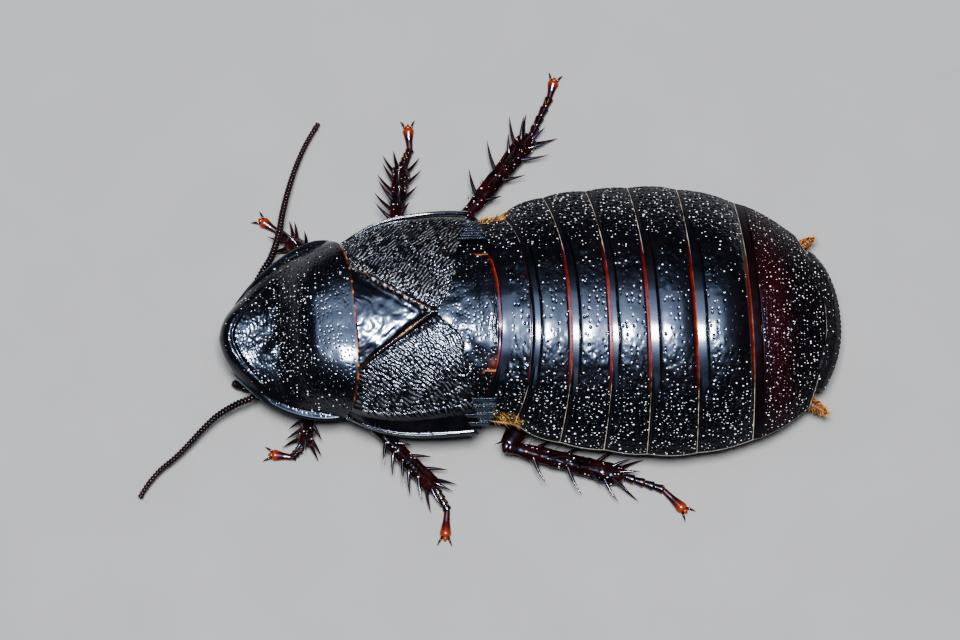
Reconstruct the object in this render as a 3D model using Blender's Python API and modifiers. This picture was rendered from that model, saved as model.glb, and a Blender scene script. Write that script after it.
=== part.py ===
import math
import random
from functools import partial

import bmesh
import bpy
from mathutils import Vector

# Sizes are given in millimetres and turned to metres by MM where they are named.
MM = 0.001

# The body lies along X with its head towards -X. A station is the distance
# behind the front edge of the neck shield, and Y is measured from the body's middle.
ORIGIN_STATION = 15.15 * MM
ORIGIN_SIDE = 1.55 * MM
GAP = 0.3 * MM

SHIELD_LENGTH = 8.0 * MM
SHIELD_HALF_WIDTH = 5.2 * MM
SHIELD_WIDEST = 2.1 * MM
SHIELD_FRONT_POWER = 1.75
SHIELD_FLAT_SIDE_POWER = 1.48
SHIELD_REAR_POWER = 3.0
SHIELD_FLOOR = 4.1 * MM
SHIELD_SIDE = -0.5 * MM
SHIELD_RIM = 0.55 * MM
SHIELD_ARCH = 3.4
SHIELD_NARROWEST = 2.4 * MM
SHIELD_SHELF = 0.55 * MM
SHIELD_FLAT_ZONE = (0.4 * MM, 3.0 * MM)
SHIELD_ROLL = 0.5 * MM
SHIELD_ROLL_REACH = 0.1
SHIELD_ROLL_ZONE = (5.2 * MM, 7.0 * MM)
SHIELD_CENTRE = 0.45
SHIELD_YAW = math.radians(5.5)
SHIELD_PITCH = math.radians(-3.0)
KNOB_HEIGHT = 0.12 * MM
KNOB_PLACE = (4.9 * MM, 1.1 * MM)
KNOB_RADIUS = 0.5 * MM

NOTUM_START = 8.35 * MM
MESONOTUM_END = 12.0 * MM
NOTUM_END = 15.95 * MM
TERGITE_ENDS = [end * MM for end in (17.75, 19.8, 22.0, 24.1, 26.7, 29.85, 34.15)]
TERGITE_BOWS = [bow * MM for bow in (1.5, 1.05, 0.8, 0.5, 0.3, 0.25, 1.25)]
NOTUM_BOW = 1.5 * MM
BOW_POWER = 2.2
TAIL_END = 35.0 * MM
TAIL_BOW = 1.2 * MM
TAIL_HALF_WIDTH = 3.95 * MM
SKEW = 0.065
BEND = 0.45 * MM
BEND_START = 20.0 * MM
BEND_REACH = 12.0 * MM

ARCH_POWER = 2.2
ARCH_ROUND = 0.85
MARGIN = 0.45 * MM
SIDE_BULGE = 0.012
SCUTELLUM_HALF_WIDTH = 2.45 * MM
STERNITE_INSET = 0.6 * MM
STERNUM_INSET = 1.6 * MM
LAST_INSET = 1.0 * MM
TIP_INSET = 1.5 * MM
BELLY_RIM = 0.3 * MM

# The forewing's base runs from the scutellum out to the shoulder.
TEGMEN_COVER = 0.95 * MM
TEGMEN_THICKNESS = 0.5 * MM
VEIN_HEIGHT = 0.12 * MM
WING_BASE = 8.45 * MM
WING_SHOULDER = 7.35 * MM
WING_INNER = 2.75 * MM
WING_TIP_SIDE = 0.32 * MM
SHOULDER_POWER = 1.8
STUB_SIDES = (3.9 * MM, 5.9 * MM)
STUB_END = 15.35 * MM
STUB_SLANT = 0.55 * MM

HEAD_SIDE = -1.0
EYE_STATION = 2.5
EYE_SIDE = 1.95
EYE_HEIGHT = 2.95
EYE_SIZE = Vector((0.42 * MM, 0.38 * MM, 0.55 * MM))
FEELER_WIDTHS = (0.52 * MM, 0.3 * MM)
PALP_WIDTHS = (0.52 * MM, 0.4 * MM)

JOINT_RADIUS = 0.36 * MM
SHARPEST_BEND = math.radians(125.0)
SPINE_RADIUS = 0.19 * MM
CLAW_RADIUS = 0.13 * MM
CLAW_REACH = 0.42 * MM

# Rows across each back plate: how far back, and how high above the body's curve.
PLATE_ROWS = ((0.0, -0.10), (0.15, -0.04), (0.22, -0.10), (0.31, 0.07), (0.65, 0.08), (1.0, 0.04))

BLACK_SHELL = (0.012, 0.010, 0.012)
RED_SHELL = (0.055, 0.006, 0.008)
RED_BROWN = (0.075, 0.014, 0.010)
ORANGE_BROWN = (0.42, 0.10, 0.02)
WING_BROWN = (0.030, 0.020, 0.022)
GREY_WING = (0.16, 0.17, 0.19)
EYE_BLACK = (0.008, 0.008, 0.010)


def sizes(*pairs):
    return [(station * MM, size * MM) for station, size in pairs]


def at(station, side, height):
    return Vector((station * MM, side * MM, height * MM))


HALF_WIDTH = sizes((8.0, 4.8), (10.0, 5.1), (12.5, 5.4), (16.0, 5.95), (17.3, 6.6), (18.7, 7.05),
                   (20.3, 7.35), (22.0, 7.55), (24.1, 7.7), (26.7, 7.55), (29.85, 6.75), (31.1, 6.15),
                   (32.0, 5.6), (33.0, 4.9), (34.15, 4.1), (35.0, 3.4))
CROWN = sizes((8.0, 7.0), (12.0, 7.15), (16.0, 7.35), (20.0, 7.6), (24.0, 7.8), (27.0, 7.65), (30.0, 7.0),
              (32.0, 6.15), (34.15, 4.95), (35.0, 4.4))
EDGE = sizes((8.0, 4.5), (12.0, 4.4), (16.0, 4.2), (20.0, 3.9), (24.0, 3.7), (28.0, 3.6), (32.0, 3.4),
             (35.0, 3.3))
BELLY = sizes((4.0, 2.6), (8.0, 2.6), (16.0, 2.6), (18.0, 2.7), (19.5, 2.5), (22.0, 1.8), (25.0, 1.25),
              (28.0, 1.25), (31.0, 1.6), (34.6, 2.4))
# The right forewing's shoulder is pressed in more than the left one's.
TEGMEN_HALF_WIDTHS = {
    "left": sizes((7.0, 5.3), (8.0, 5.9), (9.5, 6.4), (11.0, 6.6), (13.0, 6.6), (15.0, 6.5)),
    "right": sizes((7.0, 4.75), (8.0, 5.3), (9.0, 5.8), (10.3, 6.15), (11.5, 6.3), (13.0, 6.4), (15.0, 6.3)),
}
# Height of the shield's middle line above its flat underside, from the hind margin forwards.
SHIELD_CROWN = sizes((0.0, 2.93), (0.5, 2.99), (1.0, 3.035), (1.5, 3.05), (2.0, 3.04), (2.5, 2.98),
                     (3.1, 2.72), (3.8, 2.2), (4.5, 1.72), (5.1, 1.45), (5.6, 1.42), (6.4, 1.50),
                     (7.0, 1.56), (7.5, 1.5), (8.0, 1.2))


def smooth_step(start, end, value):
    u = min(max((value - start) / (end - start), 0.0), 1.0)
    return u * u * (3.0 - 2.0 * u)


def along(table, station):
    # A cubic through the table's sizes, with slopes taken from the neighbours.
    last = len(table) - 1
    if station <= table[0][0]:
        return table[0][1]
    if station >= table[last][0]:
        return table[last][1]
    i = max(k for k in range(last) if table[k][0] <= station)
    start, size = table[i]
    end, next_size = table[i + 1]
    before = table[max(i - 1, 0)]
    after = table[min(i + 2, last)]
    span = end - start
    slope = (next_size - before[1]) / (end - before[0]) * span
    next_slope = (after[1] - size) / (after[0] - start) * span
    u = (station - start) / span
    blend = u * u * (3.0 - 2.0 * u)
    rise = u * (1.0 - u) ** 2 * slope - u * u * (1.0 - u) * next_slope
    return size + (next_size - size) * blend + rise


def middle(station):
    # The thorax leans a little to the left of the abdomen's middle line.
    return -BEND * max(0.0, (BEND_START - station) / BEND_REACH) ** 1.5


def arch(t):
    return (1.0 - min(abs(t), 1.0) ** ARCH_POWER) ** ARCH_ROUND


def back_height(station, t):
    edge = along(EDGE, station)
    return edge + (along(CROWN, station) - edge) * arch(t)


def on_body(station, offset, height):
    # Every cross line of the body slants alike, its right end further forward.
    return Vector((station - SKEW * offset, middle(station) + offset, height))


def finish(name, bm, colour, roughness):
    bmesh.ops.recalc_face_normals(bm, faces=bm.faces)
    mesh = bpy.data.meshes.new(name)
    bm.to_mesh(mesh)
    bm.free()
    piece = bpy.data.objects.new(name, mesh)
    insect.objects.link(piece)
    shade(piece, colour, roughness)
    return piece


def shade(piece, colour, roughness):
    material = bpy.data.materials.new(piece.name)
    material.use_nodes = True
    surface = material.node_tree.nodes["Principled BSDF"]
    surface.inputs["Base Color"].default_value = (*colour, 1.0)
    surface.inputs["Roughness"].default_value = roughness
    surface.inputs["Metallic"].default_value = 0.0
    piece.data.materials.append(material)
    if piece.type == "MESH":
        piece.data.shade_smooth()
        piece.data.set_sharp_from_angle(angle=math.radians(40.0))


def strip(bm, row, next_row):
    for k in range(len(row) - 1):
        bm.faces.new((row[k], row[k + 1], next_row[k + 1], next_row[k]))


def plate(name, top_rows, floor_rows, colour, roughness):
    # A closed block between a curved top of several rows and a floor of two rows.
    bm = bmesh.new()
    top = [[bm.verts.new(p) for p in row] for row in top_rows]
    floor = [[bm.verts.new(p) for p in row] for row in floor_rows]
    for k in range(len(top) - 1):
        strip(bm, top[k], top[k + 1])
    strip(bm, floor[0], floor[1])
    strip(bm, top[0], floor[0])
    strip(bm, top[-1], floor[1])
    for end in (0, -1):
        bm.faces.new([row[end] for row in top] + [floor[1][end], floor[0][end]])
    bmesh.ops.triangulate(bm, faces=bm.faces)
    return finish(name, bm, colour, roughness)


def loft(name, rings, colour, roughness, lowest=None):
    # A closed skin over rings of equal count, with a flat cap at both ends.
    bm = bmesh.new()
    skin = [[bm.verts.new(p) for p in line] for line in rings]
    count = len(skin[0])
    for line, next_line in zip(skin, skin[1:]):
        for k in range(count):
            j = (k + 1) % count
            bm.faces.new((line[k], line[j], next_line[j], next_line[k]))
    bm.faces.new(skin[0])
    bm.faces.new(skin[-1])
    if lowest is not None:
        for vert in bm.verts:
            vert.co.z = max(vert.co.z, lowest)
    bmesh.ops.triangulate(bm, faces=bm.faces)
    return finish(name, bm, colour, roughness)


def ring(centre, across, upright, count):
    points = []
    for k in range(count):
        turn = 2.0 * math.pi * (k + 0.5) / count
        points.append(centre + across * math.cos(turn) + upright * math.sin(turn))
    return points


def limb(name, centres, widths, depths, count, colour, lowest=None):
    # A leg piece: rings square to its path, wide in the floor's plane.
    rings = []
    for k, centre in enumerate(centres):
        heading = (centres[min(k + 1, len(centres) - 1)] - centres[max(k - 1, 0)]).normalized()
        across = heading.cross(Vector((0.0, 0.0, 1.0))).normalized()
        upright = across.cross(heading)
        rings.append(ring(centre, across * widths[k], upright * depths[k], count))
    return loft(name, rings, colour, 0.25, lowest)


def spine(root, tip, radius, pieces):
    bm = bmesh.new()
    bmesh.ops.create_cone(bm, segments=5, cap_ends=True, radius1=radius, radius2=radius * 0.2,
                          depth=(tip - root).length)
    turn = (tip - root).to_track_quat("Z", "Y").to_matrix().to_4x4()
    turn.translation = (root + tip) / 2.0
    bm.transform(turn)
    mesh = bpy.data.meshes.new("spine")
    bm.to_mesh(mesh)
    bm.free()
    pieces.objects.link(bpy.data.objects.new("spine", mesh))


def apply_boolean(piece, operation, collection):
    modifier = piece.modifiers.new("join", "BOOLEAN")
    modifier.operation = operation
    modifier.operand_type = "COLLECTION"
    modifier.collection = collection
    modifier.solver = "EXACT"
    bpy.context.view_layer.update()
    joined = bpy.data.meshes.new_from_object(piece.evaluated_get(bpy.context.evaluated_depsgraph_get()))
    piece.modifiers.clear()
    piece.data = joined
    for cutter in list(collection.objects):
        bpy.data.objects.remove(cutter, do_unlink=True)
    keep_largest(piece)


def keep_largest(piece):
    bm = bmesh.new()
    bm.from_mesh(piece.data)
    waiting = set(bm.verts)
    shells = []
    while waiting:
        shell = {waiting.pop()}
        newest = list(shell)
        while newest:
            vert = newest.pop()
            for edge in vert.link_edges:
                other = edge.other_vert(vert)
                if other in waiting:
                    waiting.remove(other)
                    shell.add(other)
                    newest.append(other)
        shells.append(shell)
    largest = max(shells, key=len)
    bmesh.ops.delete(bm, geom=[v for v in bm.verts if v not in largest], context="VERTS")
    bmesh.ops.triangulate(bm, faces=bm.faces)
    bm.to_mesh(piece.data)
    bm.free()


def cutter_collection(name):
    collection = bpy.data.collections.new(name)
    bpy.context.scene.collection.children.link(collection)
    return collection


def route(points, spacing):
    # Points at an even spacing on a smooth curve through the route's own points.
    fine = []
    for k in range(len(points) - 1):
        before = points[max(k - 1, 0)]
        start = points[k]
        end = points[k + 1]
        after = points[min(k + 2, len(points) - 1)]
        for step in range(12):
            u = step / 12.0
            fine.append(0.5 * (2.0 * start + (end - before) * u
                               + (2.0 * before - 5.0 * start + 4.0 * end - after) * u * u
                               + (3.0 * start - before - 3.0 * end + after) * u ** 3))
    fine.append(points[-1])
    length = sum((b - a).length for a, b in zip(fine, fine[1:]))
    count = max(2, round(length / spacing))
    evenly = [fine[0]]
    travelled = 0.0
    for a, b in zip(fine, fine[1:]):
        travelled += (b - a).length
        if travelled >= length * len(evenly) / count - 1e-9 and len(evenly) < count:
            evenly.append(b)
    evenly.append(fine[-1])
    return evenly


def feeler(name, points, spacing, thickness, end_thickness, colour):
    path = route(points, spacing)
    curve = bpy.data.curves.new(name, "CURVE")
    curve.dimensions = "3D"
    curve.bevel_depth = thickness / 2.0
    curve.bevel_resolution = 2
    curve.use_fill_caps = True
    thread = curve.splines.new("POLY")
    thread.points.add(len(path) - 1)
    for k, point in enumerate(path):
        taper = k / (len(path) - 1)
        thread.points[k].co = (*point, 1.0)
        thread.points[k].radius = 1.0 + (end_thickness / thickness - 1.0) * taper ** 2
    piece = bpy.data.objects.new(name, curve)
    insect.objects.link(piece)
    shade(piece, colour, 0.4)
    return piece


def columns(count):
    # Even steps along the arch, closer together towards the margins.
    return [math.sin(math.pi / 2.0 * (2.0 * k / count - 1.0)) for k in range(count + 1)]


def hind_line(end, bow, t):
    return end - bow * abs(t) ** BOW_POWER


def plate_lift(share, lift, t):
    return lift * MM * (1.0 - 0.7 * t ** 4)


def notum_lift(share, lift, t):
    # Sunk under the wings, and higher only where it shows behind them.
    shown = smooth_step(0.45, 1.0, share) * (1.0 - smooth_step(0.45, 0.65, abs(t)))
    return (0.65 * MM * shown - TEGMEN_COVER) * (1.0 - t ** 10)


def back_plate(name, start, start_bow, end, end_bow, colour, rows=PLATE_ROWS, lift_of=plate_lift, count=12):
    top = []
    floor = []
    for share, lift in rows:
        line = []
        under = []
        for t in columns(count):
            front = hind_line(start, start_bow, t)
            station = front + (hind_line(end, end_bow, t) - front) * share
            bulge = 1.0 + SIDE_BULGE * math.sin(math.pi * share)
            offset = t * along(HALF_WIDTH, station) * bulge
            height = back_height(station, t) + lift_of(share, lift, t)
            line.append(on_body(station, offset, max(height, along(EDGE, station) - 0.05 * MM)))
            under.append(on_body(station, offset, along(EDGE, station) - MARGIN))
        top.append(line)
        floor.append(under)
    return plate(name, top, [floor[0], floor[-1]], colour, 0.2)


def belly_plate(name, start, start_bow, end, end_bow, inset, end_inset, colour, count=8):
    rows = []
    roof = []
    for share, drop in ((0.0, -0.08), (0.5, 0.0), (1.0, 0.1)):
        line = []
        over = []
        for t in columns(count):
            front = hind_line(start, start_bow, t)
            station = front + (hind_line(end, end_bow, t) - front) * share
            half = along(HALF_WIDTH, station) - inset - (end_inset - inset) * share
            top = along(EDGE, station) - MARGIN - GAP
            bottom = along(BELLY, station) - drop * MM
            rim = top - BELLY_RIM
            line.append(on_body(station, t * half, rim - (rim - bottom) * arch(t)))
            over.append(on_body(station, t * half, top))
        rows.append(line)
        roof.append(over)
    return plate(name, rows, [roof[0], roof[-1]], colour, 0.35)


def front_power(side):
    # The right front margin is pressed flatter than the left one.
    return SHIELD_FRONT_POWER if side > 0.0 else SHIELD_FLAT_SIDE_POWER


def shield_outline(turn):
    # Two quarter ovals: a pointed front one and a squarer rear one.
    sine = math.sin(turn)
    cosine = math.cos(turn)
    power = front_power(sine) if cosine > 0.0 else SHIELD_REAR_POWER
    reach = SHIELD_LENGTH - SHIELD_WIDEST if cosine > 0.0 else SHIELD_WIDEST
    forward = math.copysign(abs(cosine) ** (2.0 / power), cosine) * reach + SHIELD_WIDEST
    side = math.copysign(abs(sine) ** (2.0 / power), sine) * SHIELD_HALF_WIDTH
    return forward, side


def shield_height(forward, side):
    # Arched across: a glossy hump behind, a slope, then a flat disc with two low knobs.
    ahead = min(max((forward - SHIELD_WIDEST) / (SHIELD_LENGTH - SHIELD_WIDEST), 0.0), 1.0)
    power = front_power(side)
    half = SHIELD_HALF_WIDTH * (1.0 - ahead ** power) ** (1.0 / power)
    half = (half ** 4 + SHIELD_NARROWEST ** 4) ** 0.25
    flat = smooth_step(*SHIELD_FLAT_ZONE, forward)
    t = min(abs(side) / (half - SHIELD_SHELF * flat), 1.0)
    rise = (1.0 - t ** SHIELD_ARCH) ** (ARCH_ROUND + 0.3 * flat)
    height = SHIELD_RIM + (along(SHIELD_CROWN, forward) - SHIELD_RIM) * rise
    for knob_side in (-KNOB_PLACE[1], KNOB_PLACE[1]):
        away = math.hypot(forward - KNOB_PLACE[0], side - knob_side)
        height += KNOB_HEIGHT * math.exp(-(away / KNOB_RADIUS) ** 2)
    return height


def make_shield():
    count = 44
    centre = SHIELD_LENGTH * SHIELD_CENTRE
    bm = bmesh.new()
    rings = []
    for inward in (0.0, 0.05, 0.11, 0.19, 0.30, 0.43, 0.58, 0.74, 0.88):
        line = []
        for k in range(count):
            forward, side = shield_outline(2.0 * math.pi * k / count)
            roll = smooth_step(*SHIELD_ROLL_ZONE, forward) * max(0.0, 1.0 - inward / SHIELD_ROLL_REACH) ** 2
            forward += (centre - forward) * inward
            side *= 1.0 - inward
            height = shield_height(forward, side) - SHIELD_ROLL * roll
            line.append(bm.verts.new((-forward, -side, height)))
        rings.append(line)
    floor = [bm.verts.new((vert.co.x, vert.co.y, 0.0)) for vert in rings[0]]
    crown = bm.verts.new((-centre, 0.0, shield_height(centre, 0.0)))
    for line, next_line in zip([floor] + rings, rings):
        for k in range(count):
            j = (k + 1) % count
            bm.faces.new((line[k], line[j], next_line[j], next_line[k]))
    for k in range(count):
        bm.faces.new((rings[-1][k], rings[-1][(k + 1) % count], crown))
    bm.faces.new(floor)
    bmesh.ops.triangulate(bm, faces=bm.faces)
    shield = finish("pronotum", bm, BLACK_SHELL, 0.15)
    shield.location = (SHIELD_LENGTH, SHIELD_SIDE, SHIELD_FLOOR)
    shield.rotation_euler = (0.0, SHIELD_PITCH, SHIELD_YAW)


def make_thorax():
    # The scutellum is the raised triangle between the wing bases.
    top = []
    floor = []
    shares = (0.0, 0.2, 0.4, 0.6, 0.8, 1.0)
    for share in shares:
        station = NOTUM_START + (MESONOTUM_END - NOTUM_START) * share
        half = along(HALF_WIDTH, station)
        peak = SCUTELLUM_HALF_WIDTH * (1.0 - share) + 0.02 * MM
        step = 0.1 * MM
        line = []
        under = []
        for offset in (-half, -0.85 * half, -0.65 * half, -peak - step, -peak, 0.0,
                       peak, peak + step, 0.65 * half, 0.85 * half, half):
            sunk = TEGMEN_COVER if abs(offset) > peak else 0.0
            height = back_height(station, offset / half) - sunk * (1.0 - abs(offset / half) ** 10)
            line.append(on_body(station, offset, max(height, along(EDGE, station))))
            under.append(on_body(station, offset, along(EDGE, station) - MARGIN))
        top.append(line)
        floor.append(under)
    plate("mesonotum", top, [floor[0], floor[-1]], BLACK_SHELL, 0.2)
    rows = tuple((share, 0.0) for share in (0.0, 0.25, 0.46, 0.64, 0.82, 1.0))
    back_plate("metanotum", MESONOTUM_END + GAP, 0.0, NOTUM_END, NOTUM_BOW, BLACK_SHELL, rows, notum_lift)
    for name, start, end in (("prosternum", 4.6 * MM, NOTUM_START - 2.0 * GAP),
                             ("mesosternum", NOTUM_START, MESONOTUM_END),
                             ("metasternum", MESONOTUM_END + GAP, NOTUM_END)):
        belly_plate(name, start, 0.0, end, 0.0, STERNUM_INSET, STERNUM_INSET, RED_BROWN)


def make_abdomen():
    start = NOTUM_END
    start_bow = NOTUM_BOW
    belly_start = NOTUM_END
    belly_bow = 0.0
    for k, (end, bow) in enumerate(zip(TERGITE_ENDS, TERGITE_BOWS)):
        number = k + 1
        colour = RED_SHELL if number == 7 else BLACK_SHELL
        back_plate(f"tergite_{number}", start + GAP, start_bow, end, bow, colour)
        last = number == len(TERGITE_ENDS)
        inset = LAST_INSET if last else STERNITE_INSET
        end_inset = STERNITE_INSET if number < 6 else (TIP_INSET if last else LAST_INSET)
        name = "subgenital_plate" if last else f"sternite_{number}"
        belly_plate(name, belly_start + GAP, belly_bow, end, bow, inset, end_inset, RED_BROWN)
        start, start_bow, belly_start, belly_bow = end, bow, end, bow
    top = []
    floor = []
    for share, lift in ((0.0, -0.3), (0.6, -0.28), (1.0, -0.45)):
        line = []
        under = []
        for t in columns(10):
            offset = t * TAIL_HALF_WIDTH
            front = hind_line(start, start_bow, offset / along(HALF_WIDTH, 33.0 * MM)) + GAP
            hind = hind_line(TAIL_END, TAIL_BOW, t)
            station = front + (hind - front) * share
            height = back_height(station, offset / (4.9 * MM)) + lift * MM
            floor_height = along(EDGE, station) - MARGIN
            line.append(on_body(station, offset, max(height, floor_height + 0.35 * MM)))
            under.append(on_body(station, offset, floor_height))
        top.append(line)
        floor.append(under)
    plate("supra_anal_plate", top, [floor[0], floor[-1]], WING_BROWN, 0.4)
    for side, name in ((1.0, "cercus_right"), (-1.0, "cercus_left")):
        root = on_body(32.9 * MM, side * 4.35 * MM, 2.2 * MM)
        tip = root + Vector((1.15, side * 0.75, 0.1)) * MM
        path = [root + (tip - root) * share for share in (0.0, 0.15, 0.5, 0.85, 1.0)]
        widths = [size * MM for size in (0.25, 0.38, 0.36, 0.2, 0.06)]
        limb(name, path, widths, [0.75 * size for size in widths], 8, ORANGE_BROWN)


def wing_patch(name, half_widths, spot_of, ridges, rows, colour):
    # A four-sided sheet, its ridges fanning from base to hind edge; spot_of gives its place in plan.
    bm = bmesh.new()
    lines = []
    for i in range(rows + 1):
        line = []
        for j in range(2 * ridges + 1):
            station, side = spot_of(i / rows, j / (2 * ridges))
            ridge = VEIN_HEIGHT if j % 2 else 0.0
            height = back_height(station, side / along(half_widths, station)) + ridge
            line.append(bm.verts.new(on_body(station, side, height)))
        lines.append(line)
    for line, next_line in zip(lines, lines[1:]):
        strip(bm, line, next_line)
    bm.normal_update()
    if sum(face.normal.z for face in bm.faces) < 0.0:
        bmesh.ops.reverse_faces(bm, faces=bm.faces)
    bmesh.ops.triangulate(bm, faces=bm.faces)
    mesh = bpy.data.meshes.new(name)
    bm.to_mesh(mesh)
    bm.free()
    piece = bpy.data.objects.new(name, mesh)
    insect.objects.link(piece)
    shade(piece, colour, 0.45)
    wall = piece.modifiers.new("wall", "SOLIDIFY")
    wall.thickness = TEGMEN_THICKNESS
    wall.offset = -1.0


def through(stops, share):
    # A value between stops given as (share, value), joined by straight lines.
    for (start, value), (end, next_value) in zip(stops, stops[1:]):
        if share <= end:
            return value + (next_value - value) * (share - start) / (end - start)
    return stops[-1][1]


# Each forewing's torn hind edge: share of the way out, station.
TORN = {
    "right": ((0.0, 12.35), (0.18, 13.4), (0.5, 13.42), (0.66, 13.75), (1.0, 14.45)),
    "left": ((0.0, 12.3), (0.2, 13.65), (0.42, 13.7), (0.55, 13.85), (1.0, 14.2)),
}


def torn_edge(name, v):
    return through(TORN[name], v) * MM


def tegmen_spot(name, side, u, v):
    # A sheet between four edges: u runs back along the wing, v out from the scutellum.
    def outer(share):
        station = WING_SHOULDER + (torn_edge(name, 1.0) - WING_SHOULDER) * share
        return Vector((station, side * along(TEGMEN_HALF_WIDTHS[name], station)))

    base_inner = Vector((WING_BASE, side * WING_INNER))
    tip_inner = Vector((torn_edge(name, 0.0), side * WING_TIP_SIDE))
    base_station = WING_BASE + (WING_SHOULDER - WING_BASE) * v ** SHOULDER_POWER
    base = Vector((base_station, base_inner.lerp(outer(0.0), v).y))
    hind = Vector((torn_edge(name, v), tip_inner.lerp(outer(1.0), v).y))
    between_sides = base_inner.lerp(tip_inner, u).lerp(outer(u), v)
    between_ends = base.lerp(hind, u)
    corners = base_inner.lerp(outer(0.0), v).lerp(tip_inner.lerp(outer(1.0), v), u)
    return between_sides + between_ends - corners


def stub_spot(name, side, u, v):
    # The hind wing's stub looks out behind the tegmen's outer corner.
    first = torn_edge(name, 0.58 + 0.32 * v) + GAP
    last = STUB_END - STUB_SLANT * v
    return first + (last - first) * u, side * (STUB_SIDES[0] + (STUB_SIDES[1] - STUB_SIDES[0]) * v)


def make_wings():
    # Both wing pairs are worn to stubs, each hind edge torn in its own way.
    for side, name in ((1.0, "right"), (-1.0, "left")):
        widths = TEGMEN_HALF_WIDTHS[name]
        wing_patch(f"tegmen_{name}", widths, partial(tegmen_spot, name, side), 6, 6, WING_BROWN)
        wing_patch(f"hindwing_{name}", widths, partial(stub_spot, name, side), 3, 2, GREY_WING)


def make_head():
    # Rings from the crown under the shield down to the mouth, which points down and back.
    levels = ((3.75, 2.75, 0.75, 1.3), (3.55, 2.75, 1.0, 1.8), (3.1, 2.8, 1.15, 2.15),
              (2.5, 2.9, 1.1, 2.1), (1.95, 3.05, 0.95, 1.75), (1.45, 3.2, 0.75, 1.35),
              (1.0, 3.35, 0.55, 1.0), (0.8, 3.4, 0.35, 0.7))
    rings = []
    for height, station, depth, width in levels:
        centre = at(station, HEAD_SIDE, height)
        rings.append(ring(centre, Vector((depth * MM, 0.0, 0.0)), Vector((0.0, width * MM, 0.0)), 16))
    head = loft("head", rings, BLACK_SHELL, 0.3)
    sockets = cutter_collection("sockets")
    for side, name in ((1.0, "eye_right"), (-1.0, "eye_left")):
        centre = at(EYE_STATION, HEAD_SIDE + side * EYE_SIDE, EYE_HEIGHT)
        eye = bmesh.new()
        bmesh.ops.create_uvsphere(eye, u_segments=12, v_segments=8, radius=1.0)
        bmesh.ops.scale(eye, vec=EYE_SIZE, verts=eye.verts)
        bmesh.ops.translate(eye, vec=centre, verts=eye.verts)
        finish(name, eye, EYE_BLACK, 0.1)
        socket = bmesh.new()
        bmesh.ops.create_uvsphere(socket, u_segments=12, v_segments=8, radius=1.0)
        bmesh.ops.scale(socket, vec=EYE_SIZE + Vector((GAP, GAP, GAP)), verts=socket.verts)
        bmesh.ops.translate(socket, vec=centre, verts=socket.verts)
        mesh = bpy.data.meshes.new("socket")
        socket.to_mesh(mesh)
        socket.free()
        cutter = bpy.data.objects.new("socket", mesh)
        cutter.display_type = "WIRE"
        cutter.hide_render = True
        sockets.objects.link(cutter)
    apply_boolean(head, "DIFFERENCE", sockets)

    # Each feeler leaves the face below its eye and bends out from under the shield.
    left = ((1.5, -1.9, 2.55), (1.55, -2.9, 2.75), (1.95, -3.65, 2.85), (1.85, -4.25, 2.78),
            (0.95, -4.62, 2.6), (-0.14, -5.2, 2.2), (-1.0, -5.95, 1.9), (-1.75, -6.7, 1.6),
            (-2.55, -7.45, 1.3), (-3.45, -8.15, 1.0), (-4.15, -8.95, 0.8), (-4.6, -9.65, 0.65))
    right = ((1.5, -0.1, 2.55), (1.55, 0.9, 2.75), (1.85, 2.0, 2.9), (2.4, 3.1, 2.88),
             (2.85, 3.95, 2.75), (3.22, 5.4, 2.3), (3.38, 6.6, 1.9), (3.68, 8.1, 1.45),
             (4.1, 9.6, 1.1), (4.65, 11.0, 0.85), (5.35, 12.3, 0.65))
    for name, points in (("antenna_left", left), ("antenna_right", right)):
        feeler(name, [at(*p) for p in points], 0.5 * MM, *FEELER_WIDTHS, RED_BROWN)
    for side, name in ((1.0, "palp_right"), (-1.0, "palp_left")):
        points = ((3.0, side * 1.55, 1.2), (2.6, side * 2.1, 0.75), (1.9, side * 2.35, 0.55),
                  (1.1, side * 2.3, 0.62), (0.6, side * 2.0, 0.9))
        path = [at(x, HEAD_SIDE + y, z) for x, y, z in points]
        feeler(name, path, 0.45 * MM, *PALP_WIDTHS, RED_BROWN)


# Each leg's joints: where the coxa leaves the breast, the trochanter, the knee,
# the ankle, the root of the last tarsal segment and its end.
LEGS = {
    "foreleg_right": ((5.4, 0.7, 1.8), (6.6, 1.3, 1.25), (5.5, 3.95, 2.25),
                      (3.7, 5.25, 0.8), (3.07, 5.9, 0.3), (2.1, 6.57, 0.28)),
    "foreleg_left": ((5.4, -1.9, 1.8), (6.5, -2.4, 1.25), (5.2, -4.6, 2.25),
                     (4.7, -6.6, 0.8), (4.03, -7.25, 0.3), (2.85, -7.1, 0.28)),
    "midleg_right": ((9.4, 0.8, 1.8), (11.4, 1.9, 1.25), (9.8, 5.4, 2.4),
                     (10.15, 9.6, 0.8), (10.63, 10.75, 0.3), (10.52, 12.1, 0.28)),
    "midleg_left": ((9.4, -1.8, 1.8), (11.2, -2.8, 1.25), (8.9, -6.0, 2.4),
                    (12.2, -9.15, 0.8), (12.83, -10.25, 0.3), (12.72, -11.85, 0.28)),
    "hindleg_right": ((13.7, 1.0, 1.8), (16.9, 2.6, 1.25), (13.8, 6.3, 2.3),
                      (17.65, 11.5, 0.8), (18.7, 13.85, 0.3), (18.98, 14.93, 0.28)),
    "hindleg_left": ((15.0, -1.6, 1.8), (18.6, -3.2, 1.25), (16.2, -6.95, 2.3),
                     (22.9, -8.45, 0.8), (25.07, -9.1, 0.3), (26.3, -10.3, 0.28)),
}
# Half widths of coxa, femur and tibia for each pair.
LEG_WIDTHS = {"foreleg": (0.75, 0.62, 0.43), "midleg": (0.85, 0.68, 0.45), "hindleg": (0.95, 0.75, 0.50)}
COXA_DEPTH = 0.48 * MM
FEMUR_DEPTH = 0.5 * MM
TIBIA_DEPTH = 0.4 * MM
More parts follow.
